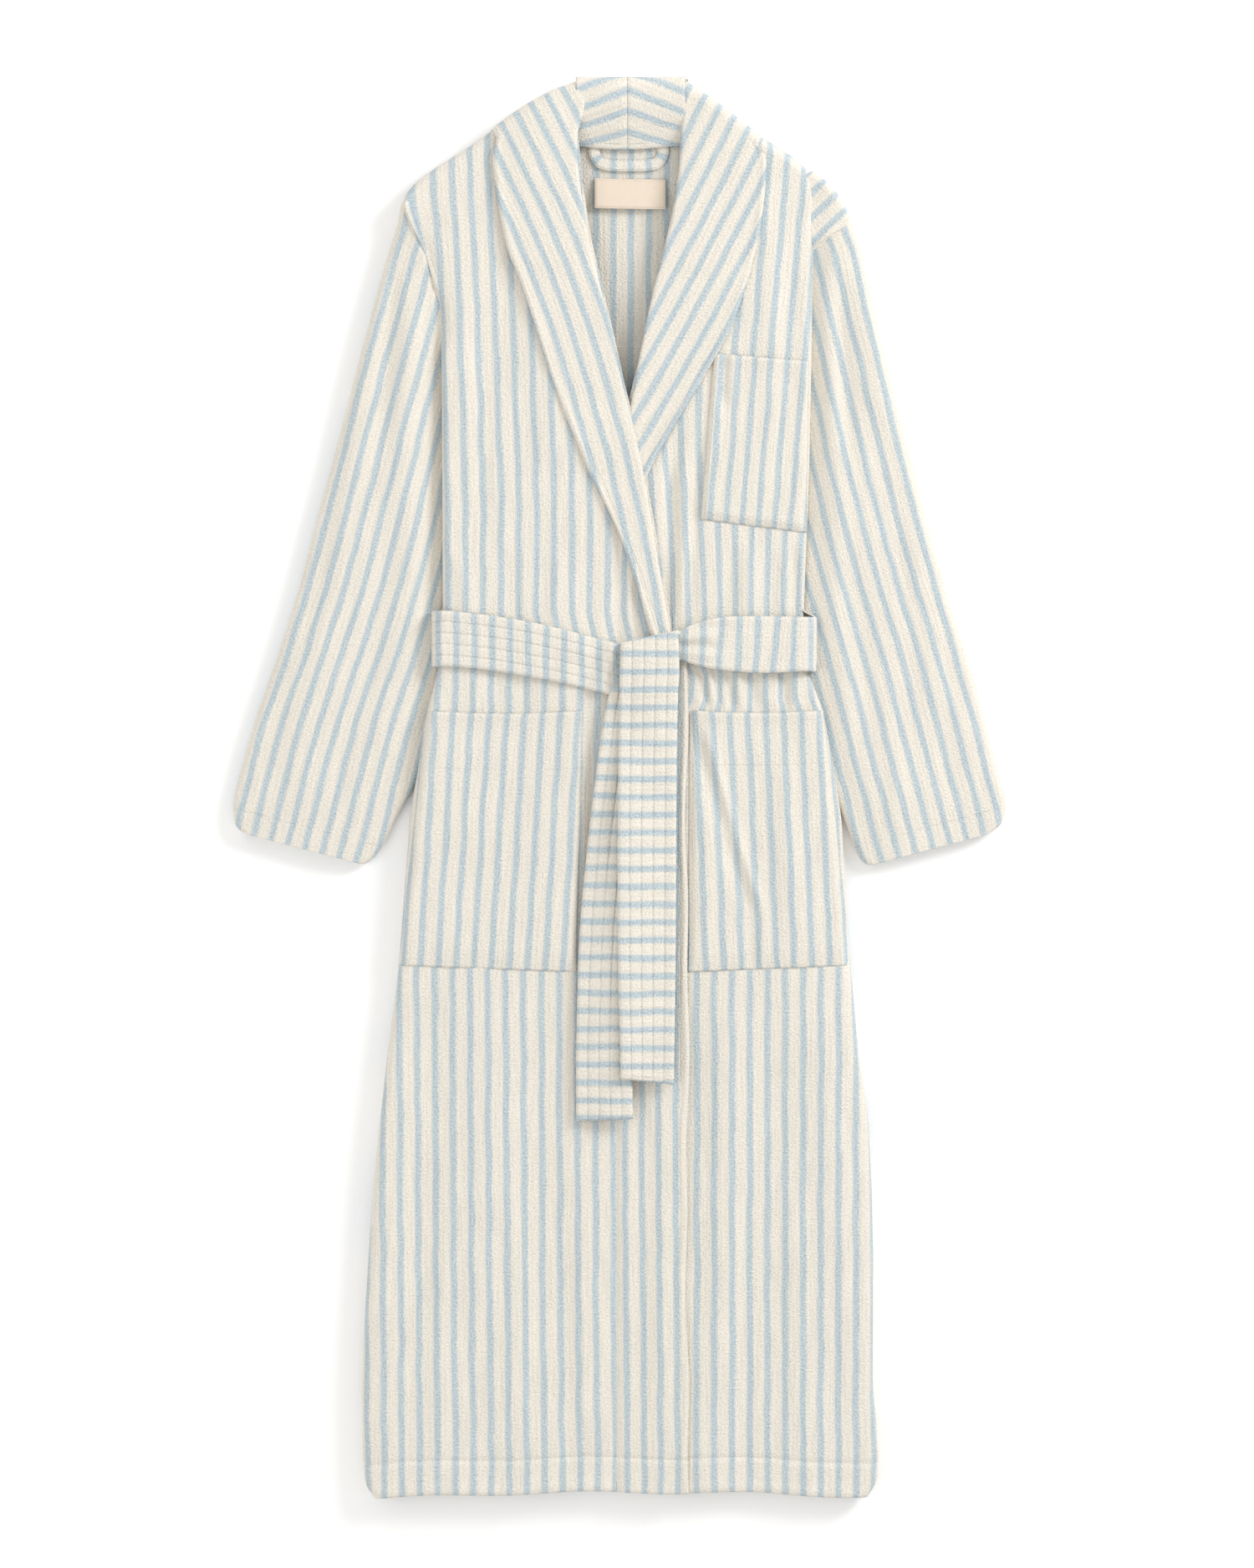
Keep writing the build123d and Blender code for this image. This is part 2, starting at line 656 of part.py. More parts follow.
# ---------------------------------------------------------------- small pieces
def hanging_loop():
    """The loop that the robe hangs by, sewn in under the back collar, lying down on the back panel."""
    half = HANGER_WIDTH / 2
    seam = NECK_DEPTH + 1.0
    inside = half - HANGER_BAND
    inner_drop = HANGER_DROP - HANGER_BAND
    x = HANGER_CENTRE
    edges = [
        ThreePointArc((x - half, -seam), (x, -seam - HANGER_DROP), (x + half, -seam)),
        Line((x + half, -seam), (x + inside, -seam)),
        ThreePointArc((x + inside, -seam), (x, -seam - inner_drop), (x - inside, -seam)),
        Line((x - inside, -seam), (x - half, -seam)),
    ]
    return Pos(0, 0, FALL_RAISE + CLOTH + GAP) * extrude(make_face(edges), amount=HANGER_CLOTH)


def neck_label():
    """A plain woven label sewn to the inside of the back, below the hanging loop."""
    half = LABEL_WIDTH / 2
    low = LABEL_DEPTH + LABEL_HEIGHT
    plate = slab(
        [
            (HANGER_CENTRE - half, LABEL_DEPTH),
            (HANGER_CENTRE + half, LABEL_DEPTH),
            (HANGER_CENTRE + half, low),
            (HANGER_CENTRE - half, low),
        ],
        0,
        2 * FALL_RAISE + CLOTH,
    )
    line = back_line()
    under = [(d, z + CLOTH + 0.05) for d, z in line]
    over = [(d, z + CLOTH + 0.05 + LABEL_CLOTH) for d, z in reversed(line)]
    skin = along_x(Polyline(*under, *over, close=True), -LABEL_WIDTH, LABEL_WIDTH)
    return plate & skin


# ---------------------------------------------------------------- assembly
def pieces():
    """Every piece by name, in drawing coordinates."""
    panel, panel_corner = right_front()
    band, band_corner = right_band()
    return {
        "back_panel": back_panel(),
        "right_front_panel": panel,
        "right_front_corner": panel_corner,
        "left_front_panel": front_panel(1, LEFT_TOP),
        "right_front_band": band,
        "right_band_corner": band_corner,
        "left_front_band": left_band(),
        "right_lapel": right_lapel(),
        "left_lapel": left_lapel(),
        "left_lapel_foot": left_lapel_foot(),
        "right_back_collar": back_collar(-1, LAPEL_UNDER),
        "left_back_collar": back_collar(1, RIGHT_UNDER),
        "right_sleeve": sleeve(-1, RIGHT_SLEEVE_ANGLE),
        "left_sleeve": sleeve(1, LEFT_SLEEVE_ANGLE),
        "chest_pocket": chest_pocket(),
        "right_hip_pocket": hip_pocket(-1, RIGHT_POCKET_INNER, RIGHT_TOP),
        "left_hip_pocket": hip_pocket(1, LEFT_POCKET_INNER, LEFT_TOP),
        "belt_waistband": belt_waistband(),
        "belt_knot": belt_knot(),
        "upper_belt_tail": tail(UPPER_TAIL, 0.0, UPPER_TAIL_UNDER),
        "lower_belt_tail": tail(LOWER_TAIL, LOWER_TAIL_ANGLE, LOWER_TAIL_UNDER),
        "right_belt_loop": belt_loop(-1),
        "left_belt_loop": belt_loop(1),
        "hanging_loop": hanging_loop(),
        "neck_label": neck_label(),
    }


def place(shapes):
    """The shift that puts the origin at the bottom centre of all the pieces."""
    boxes = [shape.bounding_box() for shape in shapes.values()]
    x = (min(b.min.X for b in boxes) + max(b.max.X for b in boxes)) / 2
    y = (min(b.min.Y for b in boxes) + max(b.max.Y for b in boxes)) / 2
    return Pos(-x, -y, -min(b.min.Z for b in boxes))


if __name__ == "__main__":
    os.makedirs("parts", exist_ok=True)
    shapes = pieces()
    shift = place(shapes)
    for name, shape in shapes.items():
        export_step(shift * shape, f"parts/{name}.step")
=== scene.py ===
# %% [markdown]
# # A striped terry bathrobe, laid out flat
#
# The robe lies on its back with its belt tied. The solid model, with its joints, is loaded
# first and is never changed. Its plain solids are then replaced by sheets of cloth.
#
# Every sheet here is a grid of points worked out with numpy. A tailor measures a robe down from
# the collar and out from the centre back, so the grids are drawn that way, in millimetres, and
# are moved into the frame when they become meshes.

# %% Load the frame
import math

import bpy
import numpy as np
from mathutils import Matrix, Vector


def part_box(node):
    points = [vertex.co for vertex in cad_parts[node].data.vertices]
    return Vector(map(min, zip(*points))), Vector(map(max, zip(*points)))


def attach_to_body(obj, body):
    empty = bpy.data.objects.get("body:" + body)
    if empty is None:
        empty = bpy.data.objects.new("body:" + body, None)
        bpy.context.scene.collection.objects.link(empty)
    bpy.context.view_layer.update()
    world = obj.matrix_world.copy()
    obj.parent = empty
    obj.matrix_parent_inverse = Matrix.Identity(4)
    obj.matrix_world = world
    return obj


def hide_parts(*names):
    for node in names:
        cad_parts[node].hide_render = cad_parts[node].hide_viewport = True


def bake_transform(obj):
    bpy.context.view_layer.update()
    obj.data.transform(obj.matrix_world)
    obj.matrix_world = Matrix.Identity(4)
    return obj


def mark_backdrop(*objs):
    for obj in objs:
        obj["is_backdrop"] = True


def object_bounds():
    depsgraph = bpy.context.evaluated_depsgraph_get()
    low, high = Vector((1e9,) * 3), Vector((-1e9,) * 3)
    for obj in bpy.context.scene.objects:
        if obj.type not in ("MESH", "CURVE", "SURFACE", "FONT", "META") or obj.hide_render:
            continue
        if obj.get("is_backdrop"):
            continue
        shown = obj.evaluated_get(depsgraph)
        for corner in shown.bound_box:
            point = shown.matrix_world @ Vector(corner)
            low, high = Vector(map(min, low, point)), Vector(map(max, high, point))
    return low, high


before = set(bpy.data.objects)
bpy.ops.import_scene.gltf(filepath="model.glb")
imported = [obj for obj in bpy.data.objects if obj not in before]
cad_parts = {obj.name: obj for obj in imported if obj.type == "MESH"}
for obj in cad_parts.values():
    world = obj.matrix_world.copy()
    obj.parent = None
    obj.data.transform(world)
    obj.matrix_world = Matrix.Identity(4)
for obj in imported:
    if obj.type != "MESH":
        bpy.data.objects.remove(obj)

cad_low, cad_high = (np.array(corner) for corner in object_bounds())
back_low, back_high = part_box("back_panel")
CENTRE_X = 0.5e3 * (back_low[0] + back_high[0])  # mm, the centre back line
COLLAR_TOP_Y = 1e3 * cad_high[1]  # mm, the top of the collar
ROBE_LENGTH = 1e3 * (cad_high[1] - cad_low[1])
print("robe length", round(ROBE_LENGTH), "mm")

# %% [markdown]
# ## Levels of the layers
#
# A robe laid flat is a stack of cloth: back, under front, top front, lapel, belt. The solid model
# has given each layer its own height, so those of the fronts, lapels and waistband are read from
# it.

# %% Read the levels
CLOTH = 3.0  # mm, thickness of one layer of velour terry


def top_of(node):
    """Height of a solid's highest point, in mm."""
    return 1e3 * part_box(node)[1][2]


LEFT_TOP = top_of("left_front_panel")
RIGHT_TOP = top_of("right_front_panel")
LAPEL_TOP = top_of("right_lapel")
LEFT_LAPEL_TOP = top_of("left_lapel")
BELT_TOP = top_of("belt_waistband")
print("fronts", LEFT_TOP, RIGHT_TOP, "lapels", LAPEL_TOP, LEFT_LAPEL_TOP, "belt", BELT_TOP)

# %% [markdown]
# ## Drawing tools
#
# Cloth has no straight lines for long. Outlines are given by a few tape measurements, and two
# functions join them: one averages a line of measurements over a short window, the other runs a
# smooth cubic through points. Creases are added as soft ridges, like pressing a finger along
# the cloth, and a broad ripple keeps large areas from looking ironed.


# %% Curves, creases and ripples
def measured(depth, stations, blur=12.0):
    """Value at a depth: straight between the stations, then the mean of nine samples around it."""
    depths, values = zip(*stations)
    taps = np.linspace(-1.0, 1.0, 9) * blur
    return np.mean([np.interp(depth + tap, depths, values) for tap in taps], axis=0)


def through(points, t):
    """Smooth curve through points for t from 0 to 1: a cubic between each two, its slope at a
    point being half the step between that point's neighbours (Catmull and Rom's rule)."""
    p = np.asarray(points, float)
    spans = len(p) - 1
    ends = np.vstack([2 * p[0] - p[1], p, 2 * p[-1] - p[-2]])
    place = np.clip(t, 0, 1) * spans
    i = np.minimum(place.astype(int), spans - 1)
    f = (place - i)[..., None]
    a, b, c, d = ends[i], ends[i + 1], ends[i + 2], ends[i + 3]
    return b + 0.5 * f * (c - a + f * (2 * a - 5 * b + 4 * c - d + f * (3 * b - a - 3 * c + d)))


def ease(low, high, value):
    """0 below low, 1 above high, and 3t^2 - 2t^3 between them."""
    t = np.clip((value - low) / (high - low), 0, 1)
    return t * t * (3 - 2 * t)


def creases(x, depth, lines):
    """Sum of soft ridges. Each runs straight from one point to another; across it the height is a
    bell curve exp(-(distance / width)^2), and it dies away towards both ends."""
    total = np.zeros(np.broadcast(x, depth).shape)
    for x0, d0, x1, d1, height, width in lines:
        run_x, run_d = x1 - x0, d1 - d0
        length = math.hypot(run_x, run_d)
        along = ((x - x0) * run_x + (depth - d0) * run_d) / length**2
        away = ((x - x0) * run_d - (depth - d0) * run_x) / length
        fade = ease(-0.15, 0.25, along) * (1 - ease(0.75, 1.15, along))
        total = total + height * fade * np.exp(-((away / width) ** 2))
    return total


def ripple(x, depth, seed, wave=130.0, stretch=2.5):
    """Broad waviness between about -1 and 1: eight sine waves of random direction and phase,
    each longer down the robe than across it, with their positions bent by slower waves."""
    rng = np.random.default_rng(seed)
    bent_x = x + 18 * np.sin(depth / 140 + rng.uniform(0, 6))
    bent_d = depth + 25 * np.sin(x / 90 + rng.uniform(0, 6))
    total = 0.0
    for _ in range(8):
        turn = rng.uniform(-0.6, 0.6)
        size = wave * rng.uniform(0.6, 1.6)
        phase = (bent_x * math.cos(turn) + bent_d * math.sin(turn) / stretch) / size
        total = total + np.sin(2 * math.pi * phase + rng.uniform(0, 6.28))
    return total / 4.0


# %% [markdown]
# ## From a grid to a piece of cloth
#
# A grid of points becomes a mesh of quads. Each point also carries where it is on the uncut
# cloth, in metres, as a UV map: u across the stripes and v along them. So the stripes bend,
# lean and disappear round a fold just as woven ones do. A second number on each point is its
# distance from the nearest row of stitches, which the material uses to sink a fine groove and
# to paint shade into it.
#
# Solidify then gives the sheet its thickness, downwards, so that the drawn side stays outside.


# %% Make a sheet from a grid
NO_STITCH = 99.0  # mm, the distance given where there is no row of stitches


def stretch_along(x, depth, z):
    """Extra length of each row of a grid over its plan: running sum of (true step - flat step),
    counted from the row's middle, so that cloth going down a fold uses up stripes."""
    flat = np.hypot(np.diff(x, axis=1), np.diff(depth, axis=1))
    true = np.hypot(flat, np.diff(z, axis=1))
    extra = np.cumsum(np.pad(true - flat, ((0, 0), (1, 0))), axis=1)
    return extra - extra[:, extra.shape[1] // 2][:, None]


def cloth_piece(name, x, depth, z, u, v, stitch=None, thick=CLOTH, round_tube=False, cut_row=None,
                cut_col=None):
    """A mesh from grids of mm: quads between neighbours, the last column joined to the first on a
    tube. The winding is chosen so that the drawn side faces up, or out. Along cut_row or cut_col the
    edge is marked sharp, so that the shading runs on unbroken into the piece on the other side."""
    rows, cols = x.shape
    used = cols - 1 if round_tube else cols
    place = np.stack([x + CENTRE_X, COLLAR_TOP_Y - depth, z], axis=-1)[:, :used] / 1e3
    i, j = np.meshgrid(np.arange(rows - 1), np.arange(cols - 1), indexing="ij")
    corners = [(i, j), (i + 1, j), (i + 1, j + 1), (i, j + 1)]
    index = np.stack([r * used + c % used for r, c in corners], axis=-1).reshape(-1, 4)
    source = np.stack([r * cols + c for r, c in corners], axis=-1).reshape(-1, 4)
    flat = place.reshape(-1, 3)
    first, second, last = (flat[index[:, k]] for k in (0, 1, 3))
    normal_z = np.cross(second - first, last - first)[:, 2]
    top_half = first[:, 2] > np.median(flat[:, 2]) if round_tube else slice(None)
    if normal_z[top_half].sum() < 0:
        index, source = index[:, ::-1], source[:, ::-1]
    mesh = bpy.data.meshes.new(name)
    mesh.from_pydata(flat.tolist(), [], index.tolist())
    on_cloth = np.stack([u, v], axis=-1).reshape(-1, 2)[source.ravel()] / 1e3
    mesh.uv_layers.new(name="cloth").data.foreach_set("uv", on_cloth.ravel())
    rows_of_thread = np.full((rows, used), NO_STITCH) if stitch is None else np.abs(stitch[:, :used])
    mesh.attributes.new("stitch", "FLOAT", "POINT").data.foreach_set("value", rows_of_thread.ravel())
    mesh.polygons.foreach_set("use_smooth", np.ones(len(index), bool))
    mesh.update()
    if cut_row is not None or cut_col is not None:
        ends = np.zeros(2 * len(mesh.edges), int)
        mesh.edges.foreach_get("vertices", ends)
        ends = ends.reshape(-1, 2)
        beside_cut = ends % used == cut_col if cut_row is None else ends // used == cut_row % rows
        on_cut = beside_cut.all(axis=1)
        mesh.attributes.new("sharp_edge", "BOOLEAN", "EDGE").data.foreach_set("value", on_cut)
    piece = bpy.data.objects.new(name, mesh)
    bpy.context.scene.collection.objects.link(piece)
    if thick:
        wall = piece.modifiers.new("thickness", "SOLIDIFY")
        wall.thickness, wall.offset, wall.use_rim = thick / 1e3, -1.0, True
        wall.use_quality_normals = True
    return piece


def patch_area(x, depth, z):
    """Area of a grid in square metres: half the cross product of each quad's diagonals."""
    p = np.stack([x, depth, z], axis=-1)
    one, two = p[1:, 1:] - p[:-1, :-1], p[1:, :-1] - p[:-1, 1:]
    return float(np.linalg.norm(np.cross(one, two), axis=-1).sum() / 2e6)


# %% [markdown]
# ## Striped velour terry
#
# The robe is cotton terry whose loops have been sheared on the face, which gives a matt, dense
# pile. The stripes are woven in: pale blue threads 6 mm wide in cream, repeating every 16 mm, with
# an edge that is a little soft because the pile leans over it. Looking closely there is a fine
# speckle of pile ends and faint ribs along the warp.
#
# It could be painted or made as hair. A pattern worked out from the position on the cloth
# follows every fold, costs nothing and can be baked. The bump is from the same speckle, at
# 1.8 mm, which is coarser than real pile ends so that it shows at this distance. The stripes also
# wander by a millimetre or two, as they do in cloth that has been washed.

# %% Colours and nodes
STRIPE_REPEAT = 0.016  # m
STRIPE_SHARE = 0.36  # of the repeat that is blue
PILE = 0.0018  # m
RIB = 0.0024  # m
CLOUD = 0.045  # m, patches where the pile leans another way
STITCH = 0.003  # m


def srgb(code):
    """A hex colour as linear red, green, blue and alpha 1."""
    parts = [int(code[i : i + 2], 16) / 255 for i in (1, 3, 5)]
    return [p / 12.92 if p <= 0.04045 else ((p + 0.055) / 1.055) ** 2.4 for p in parts] + [1.0]


def add(material, kind, links=None, **settings):
    """Adds a node, sets its properties, and sets its inputs, by name or number, or joins sources to
    them. A node given as a source stands for its first output."""
    node = material.node_tree.nodes.new(kind)
    for key, value in settings.items():
        setattr(node, key, value)
    for socket, source in (links or {}).items():
        if isinstance(source, bpy.types.Node):
            source = source.outputs[0]
        if isinstance(source, bpy.types.NodeSocket):
            material.node_tree.links.new(source, node.inputs[socket])
        else:
            node.inputs[socket].default_value = source
    return node


def fresh_material(name, roughness, sheen):
    """A new material with only a cloth-like Principled shader and its output."""
    material = bpy.data.materials.new(name)
    material.use_nodes = True
    material.node_tree.nodes.clear()
    shader = add(material, "ShaderNodeBsdfPrincipled", {
        "Roughness": roughness, "Specular IOR Level": 0.18, "Sheen Weight": sheen, "Sheen Roughness": 0.55})
    add(material, "ShaderNodeOutputMaterial", {"Surface": shader.outputs[0]})
    return material, shader


def striped_terry(name, cream, blue):
    """Stripes from u: the share of the repeat that lies within half a stripe of its middle, its edge
    shaken by noise; then pile, ribs, and stitches whose grooves get painted shade."""
    material, shader = fresh_material(name, roughness=0.92, sheen=0.12)
    math_node, noise_node, range_node = "ShaderNodeMath", "ShaderNodeTexNoise", "ShaderNodeMapRange"
    uv = add(material, "ShaderNodeUVMap", uv_map="cloth")
    across = add(material, "ShaderNodeSeparateXYZ", {0: uv})
    threads = add(material, "ShaderNodeMapping", {0: uv, 3: (1.0, 0.05, 1.0)})
    pile = add(material, noise_node, {"Vector": uv, "Scale": 1 / PILE, "Detail": 2.0, "Roughness": 0.6})
    slow = add(material, noise_node, {"Vector": uv, "Scale": 1 / CLOUD, "Detail": 2.0, "Roughness": 0.6})
    rib = add(material, noise_node, {"Vector": threads, "Scale": 1 / RIB, "Detail": 1.0, "Roughness": 0.6})

    fray, wander = 0.0022, 0.0044  # m, how far the pile and the slow noise move a stripe's edge
    turns = 64.5  # whole turns keep the number above 0, the half puts a stripe's middle at u = 0
    middle = turns - 0.5 * (fray + wander) / STRIPE_REPEAT
    moved = add(material, math_node, {0: slow, 1: wander, 2: across}, operation="MULTIPLY_ADD")
    shaken = add(material, math_node, {0: pile, 1: fray, 2: moved}, operation="MULTIPLY_ADD")
    turn = add(material, math_node, {0: shaken, 1: 1 / STRIPE_REPEAT, 2: middle}, operation="MULTIPLY_ADD")
    part = add(material, math_node, {0: turn}, operation="FRACT")
    centred = add(material, math_node, {0: part, 1: 0.5}, operation="SUBTRACT")
    from_middle = add(material, math_node, {0: centred}, operation="ABSOLUTE")
    edge = 0.095  # of the repeat, half the width over which a stripe fades out
    stripe = add(material, range_node, {
        "Value": from_middle, "From Min": STRIPE_SHARE / 2 + edge, "From Max": STRIPE_SHARE / 2 - edge},
        interpolation_type="SMOOTHSTEP")
    flecks = add(material, range_node, {
        "Value": pile, "From Min": 0.35, "From Max": 0.68, "To Min": 1.0, "To Max": 0.62})
    dyed = add(material, math_node, {0: stripe, 1: flecks}, operation="MULTIPLY")
    woven = add(material, "ShaderNodeMix", {0: dyed, 6: srgb(cream), 7: srgb(blue)}, data_type="RGBA")

    thread = add(material, "ShaderNodeAttribute", attribute_name="stitch").outputs["Fac"]
    groove = add(material, range_node, {
        "Value": thread, "From Min": 1.1, "From Max": 0.25}, interpolation_type="SMOOTHSTEP")
    gaps = add(material, noise_node, {"Vector": uv, "Scale": 1 / STITCH, "Detail": 0.0})
    dash = add(material, range_node, {
        "Value": gaps, "From Min": 0.35, "From Max": 0.6, "To Min": 0.5, "To Max": 1.0})
    # Painted shade: the colour is up to 6% darker, in dashes, in the stitch grooves.
    groove_shade = add(material, math_node, {0: groove, 1: dash}, operation="MULTIPLY")

    shade = add(material, math_node, {0: rib, 1: 0.22, 2: 0.60}, operation="MULTIPLY_ADD")
    shade = add(material, math_node, {0: pile, 1: 0.50, 2: shade}, operation="MULTIPLY_ADD")
    shade = add(material, math_node, {0: slow, 1: 0.08, 2: shade}, operation="MULTIPLY_ADD")
    shadow = add(material, math_node, {0: groove_shade, 1: -0.06, 2: 1.0}, operation="MULTIPLY_ADD")
    shade = add(material, math_node, {0: shade, 1: shadow}, operation="MULTIPLY")
    colour = add(material, "ShaderNodeVectorMath", {0: woven.outputs[2], 3: shade}, operation="SCALE")

    raised = add(material, math_node, {0: rib, 1: 0.5, 2: pile}, operation="MULTIPLY_ADD")
    height = add(material, math_node, {0: groove, 1: -0.25, 2: raised}, operation="MULTIPLY_ADD")
    bump = add(material, "ShaderNodeBump", {"Height": height, "Distance": 0.0016, "Strength": 0.85})
    material.node_tree.links.new(colour.outputs[0], shader.inputs["Base Color"])
    material.node_tree.links.new(bump.outputs[0], shader.inputs["Normal"])
    return material


CREAM, BLUE = "#E6E0D5", "#B0C2CC"
robe_terry = striped_terry("striped_velour_terry", CREAM, BLUE)
print("made", robe_terry.name)

# %% [markdown]
# ## The two fronts
#
# Each front is one sheet from its free edge to the side, where it turns under. A box with rounded
# corners would give the same outline but no cloth. Here a row of points runs flat across the
# front and then round a small half ellipse at the side. The outline was measured down the robe:
# narrow at the belt, wide at the hem.
#
# The heights of both fronts are functions, because the pockets and the top band follow them.

# %% Outlines and creases of the fronts
RIGHT_OUTLINE = [  # depth, half width in mm
    (18, 76), (32, 101), (44, 116), (55, 129), (66, 146), (77, 164), (89, 182), (100, 194), (112, 200.5),
    (133, 193), (160, 181), (203, 166.5), (240, 164.5), (345, 164), (480, 163.5), (530, 167), (567, 177),
    (584, 181), (621, 185.5), (666, 193), (797, 203), (876, 213), (936, 220), (996, 226), (1056, 230),
    (1116, 234), (1176, 236), (1236, 235.5), (1262, 233.5), (1270, 230), (1276, 222),
]
LEFT_OUTLINE = [
    (18, 76), (32, 96), (44, 113), (55, 125), (66, 142), (77, 159), (86, 169), (100, 171.5), (170, 169),
    (250, 168), (345, 166), (480, 161), (530, 163), (567, 178), (621, 188), (666, 195), (797, 203),
    (876, 210.5), (936, 219), (996, 222), (1056, 223.5), (1176, 223), (1206, 226.5), (1240, 228.5),
    (1264, 227), (1276, 217),
]
RIGHT_CREASES = [  # x, depth, x, depth, height, half width
    (-7.5, 300, -7.5, 1700, -1.5, 2.0), (-7.5, 330, -7.5, 1700, -1.2, 7.0), (3, 700, 4, 1500, 0.8, 7.0),
    (-183, 140, -160, 240, -3.2, 7), (-150, 150, -140, 330, 1.6, 14), (-28, 560, -31, 880, -4.5, 9),
    (-48, 560, -50, 640, 1.5, 8), (-120, 840, -130, 1180, 2.0, 22), (-170, 820, -186, 1150, -2.2, 18),
    (-75, 830, -70, 1200, -1.8, 20), (-40, 930, -34, 1240, 1.8, 14), (-118, 300, -114, 470, 1.5, 18),
    (-80, 330, -70, 480, -1.5, 14), (-4, 430, -3, 510, -2.6, 6), (11, 452, 12, 510, -2.6, 6),
    (4, 440, 4, 505, 1.2, 5), (-150, 425, -140, 486, 2.0, 8), (-104, 430, -98, 490, -2.0, 8),
    (-62, 425, -64, 495, 1.8, 7), (-30, 430, -34, 500, -1.6, 7), (-130, 535, -134, 572, 1.6, 8),
    (-92, 538, -90, 572, -1.8, 8), (15, 900, 12, 1260, -1.6, 12), (36, 880, 34, 1240, 1.2, 9),
    (-150, 1100, -120, 1270, -1.2, 16), (-205, 900, -215, 1240, 1.5, 14), (-100, 1000, -92, 1270, 2.0, 10),
    (-160, 980, -168, 1260, 1.8, 9), (-52, 1040, -50, 1270, -1.8, 9), (-130, 210, -125, 420, -1.6, 9),
    (-60, 250, -88, 420, 1.4, 12), (-100, 130, -120, 300, -1.4, 14),
]
LEFT_CREASES = [
    (68, 530, 75, 566, -3.8, 4.5), (81, 530, 85, 568, -3.2, 4), (93, 530, 96, 566, -3.6, 4.5),
    (74, 530, 79, 564, 2.2, 4), (100, 530, 103, 566, 1.8, 5), (114, 530, 116, 566, -2.4, 5),
    (130, 530, 129, 566, 1.6, 7), (145, 528, 143, 566, -3.4, 4.5), (152, 528, 152, 570, 1.4, 5),
    (48, 320, 41, 372, -2.6, 7), (41, 350, 40, 492, -3.6, 6), (54, 340, 54, 492, 2.0, 6),
    (66, 330, 57, 485, -2.6, 6), (96, 420, 92, 490, -1.8, 8), (112, 420, 110, 488, 1.8, 8),
    (134, 425, 130, 488, -1.6, 7), (151, 420, 153, 490, -3.0, 4.5), (128, 830, 134, 1180, -2.0, 18),
    (92, 840, 86, 1200, 2.0, 15), (182, 840, 192, 1150, 2.0, 17), (70, 860, 66, 1180, -1.6, 12),
    (206, 930, 212, 1220, -1.6, 10), (150, 160, 148, 300, -1.8, 9), (132, 130, 130, 240, 1.4, 9),
    (110, 1000, 108, 1260, -1.6, 9), (150, 980, 158, 1250, 1.6, 10), (186, 1040, 190, 1260, -1.6, 9),
    (140, 600, 150, 760, 1.5, 10), (76, 640, 72, 790, 1.4, 8),
    (62, 585, 90, 682, -3.2, 9), (90, 682, 114, 752, -3.2, 9), (114, 752, 112, 800, -2.0, 9),
    (72, 585, 100, 682, 2.6, 5), (100, 682, 124, 752, 2.6, 5), (124, 752, 122, 800, 1.6, 5),
]

HEM = 31.0  # mm, from the lower edge up to the hem's stitches
HEM_AREA = 42.0  # mm, the rows are close together from here down
HEM_ROWS = 26
HEM_STRETCH = 1080.0  # mm down from the collar, where the rows begin to follow the hem
OUTLINE_BLUR = 7.0  # mm, an outline is averaged this far above and below each depth


def right_surface(x, depth):
    """Height of the right front's face: its level, its creases and a gentle ripple."""
    return RIGHT_TOP + creases(x, depth, RIGHT_CREASES) + 1.2 * ripple(x, depth, 3)


def left_surface(x, depth):
    """Height of the left front's face."""
    return LEFT_TOP + creases(x, depth, LEFT_CREASES) + 1.2 * ripple(x, depth, 8)


def hem_depth(x):
    """Depth of the hem across the robe: it hangs a few millimetres lower at both sides."""
    return ROBE_LENGTH - 6.5 + 4.5 * (x / 200) ** 2 + 1.2 * np.sin(x / 23)


def down_to_hem(x, depth, past=0.0):
    """Rows that were level become rows that follow the hem, by an ease over the lowest part."""
    return depth + (hem_depth(x) - ROBE_LENGTH - past) * ease(HEM_STRETCH, ROBE_LENGTH, depth)


def rows_to_hem(start, rows):
    """Depths of the rows of a sheet: even steps, and much closer ones over the hem."""
    body = np.linspace(start, ROBE_LENGTH - HEM_AREA - 2, rows - HEM_ROWS)
    return np.concatenate([body, np.linspace(ROBE_LENGTH - HEM_AREA, ROBE_LENGTH, HEM_ROWS)])


def hem_relief(up):
    """Height of the hem at a distance up from it: a double layer below its stitches, a groove
    exp(-(distance / 2.2)^2) at the stitches, and a rounded lower edge."""
    doubled = 0.5 * ease(HEM, HEM - 3, up)
    return doubled - 1.1 * np.exp(-(((up - HEM) / 2.2) ** 2)) - 1.2 * ease(2.5, 0, up)


def from_hem_stitches(x, depth):
    """Distance from the row of stitches that holds the hem."""
    return depth - hem_depth(x) + HEM


# %% [markdown]
# The stripes of the body run straight down, but not everywhere: they lean towards the shoulders,
# crowd together where the belt gathers the cloth, and sit a little differently above and below
# it. So u is not just x. A table of shifts down the robe says how far the stripes have moved.

# %% Cut the two fronts
FOLD = 7.0  # mm, radius of the pressed side folds
FRONT_START = 20.0  # mm down from the top of the collar


def side_fold(half, flat_from, radius, tallness, turn_to=170.0, flat=64, bent=12):
    """Distance out and drop of each point of a row: even steps to the bend, then an ellipse, out by
    r sin a and down by tallness (1 - cos a)."""
    share = np.linspace(0, 1, flat)[None, :]
    out = flat_from[:, None] + (half - radius - flat_from)[:, None] * share
    angle = np.radians(np.linspace(turn_to / bent, turn_to, bent))[None, :]
    turned = (half - radius)[:, None] + radius[:, None] * np.sin(angle)
    drop = tallness[:, None] * (1 - np.cos(angle))
    return np.hstack([out, turned]), np.hstack([np.zeros_like(out), drop])


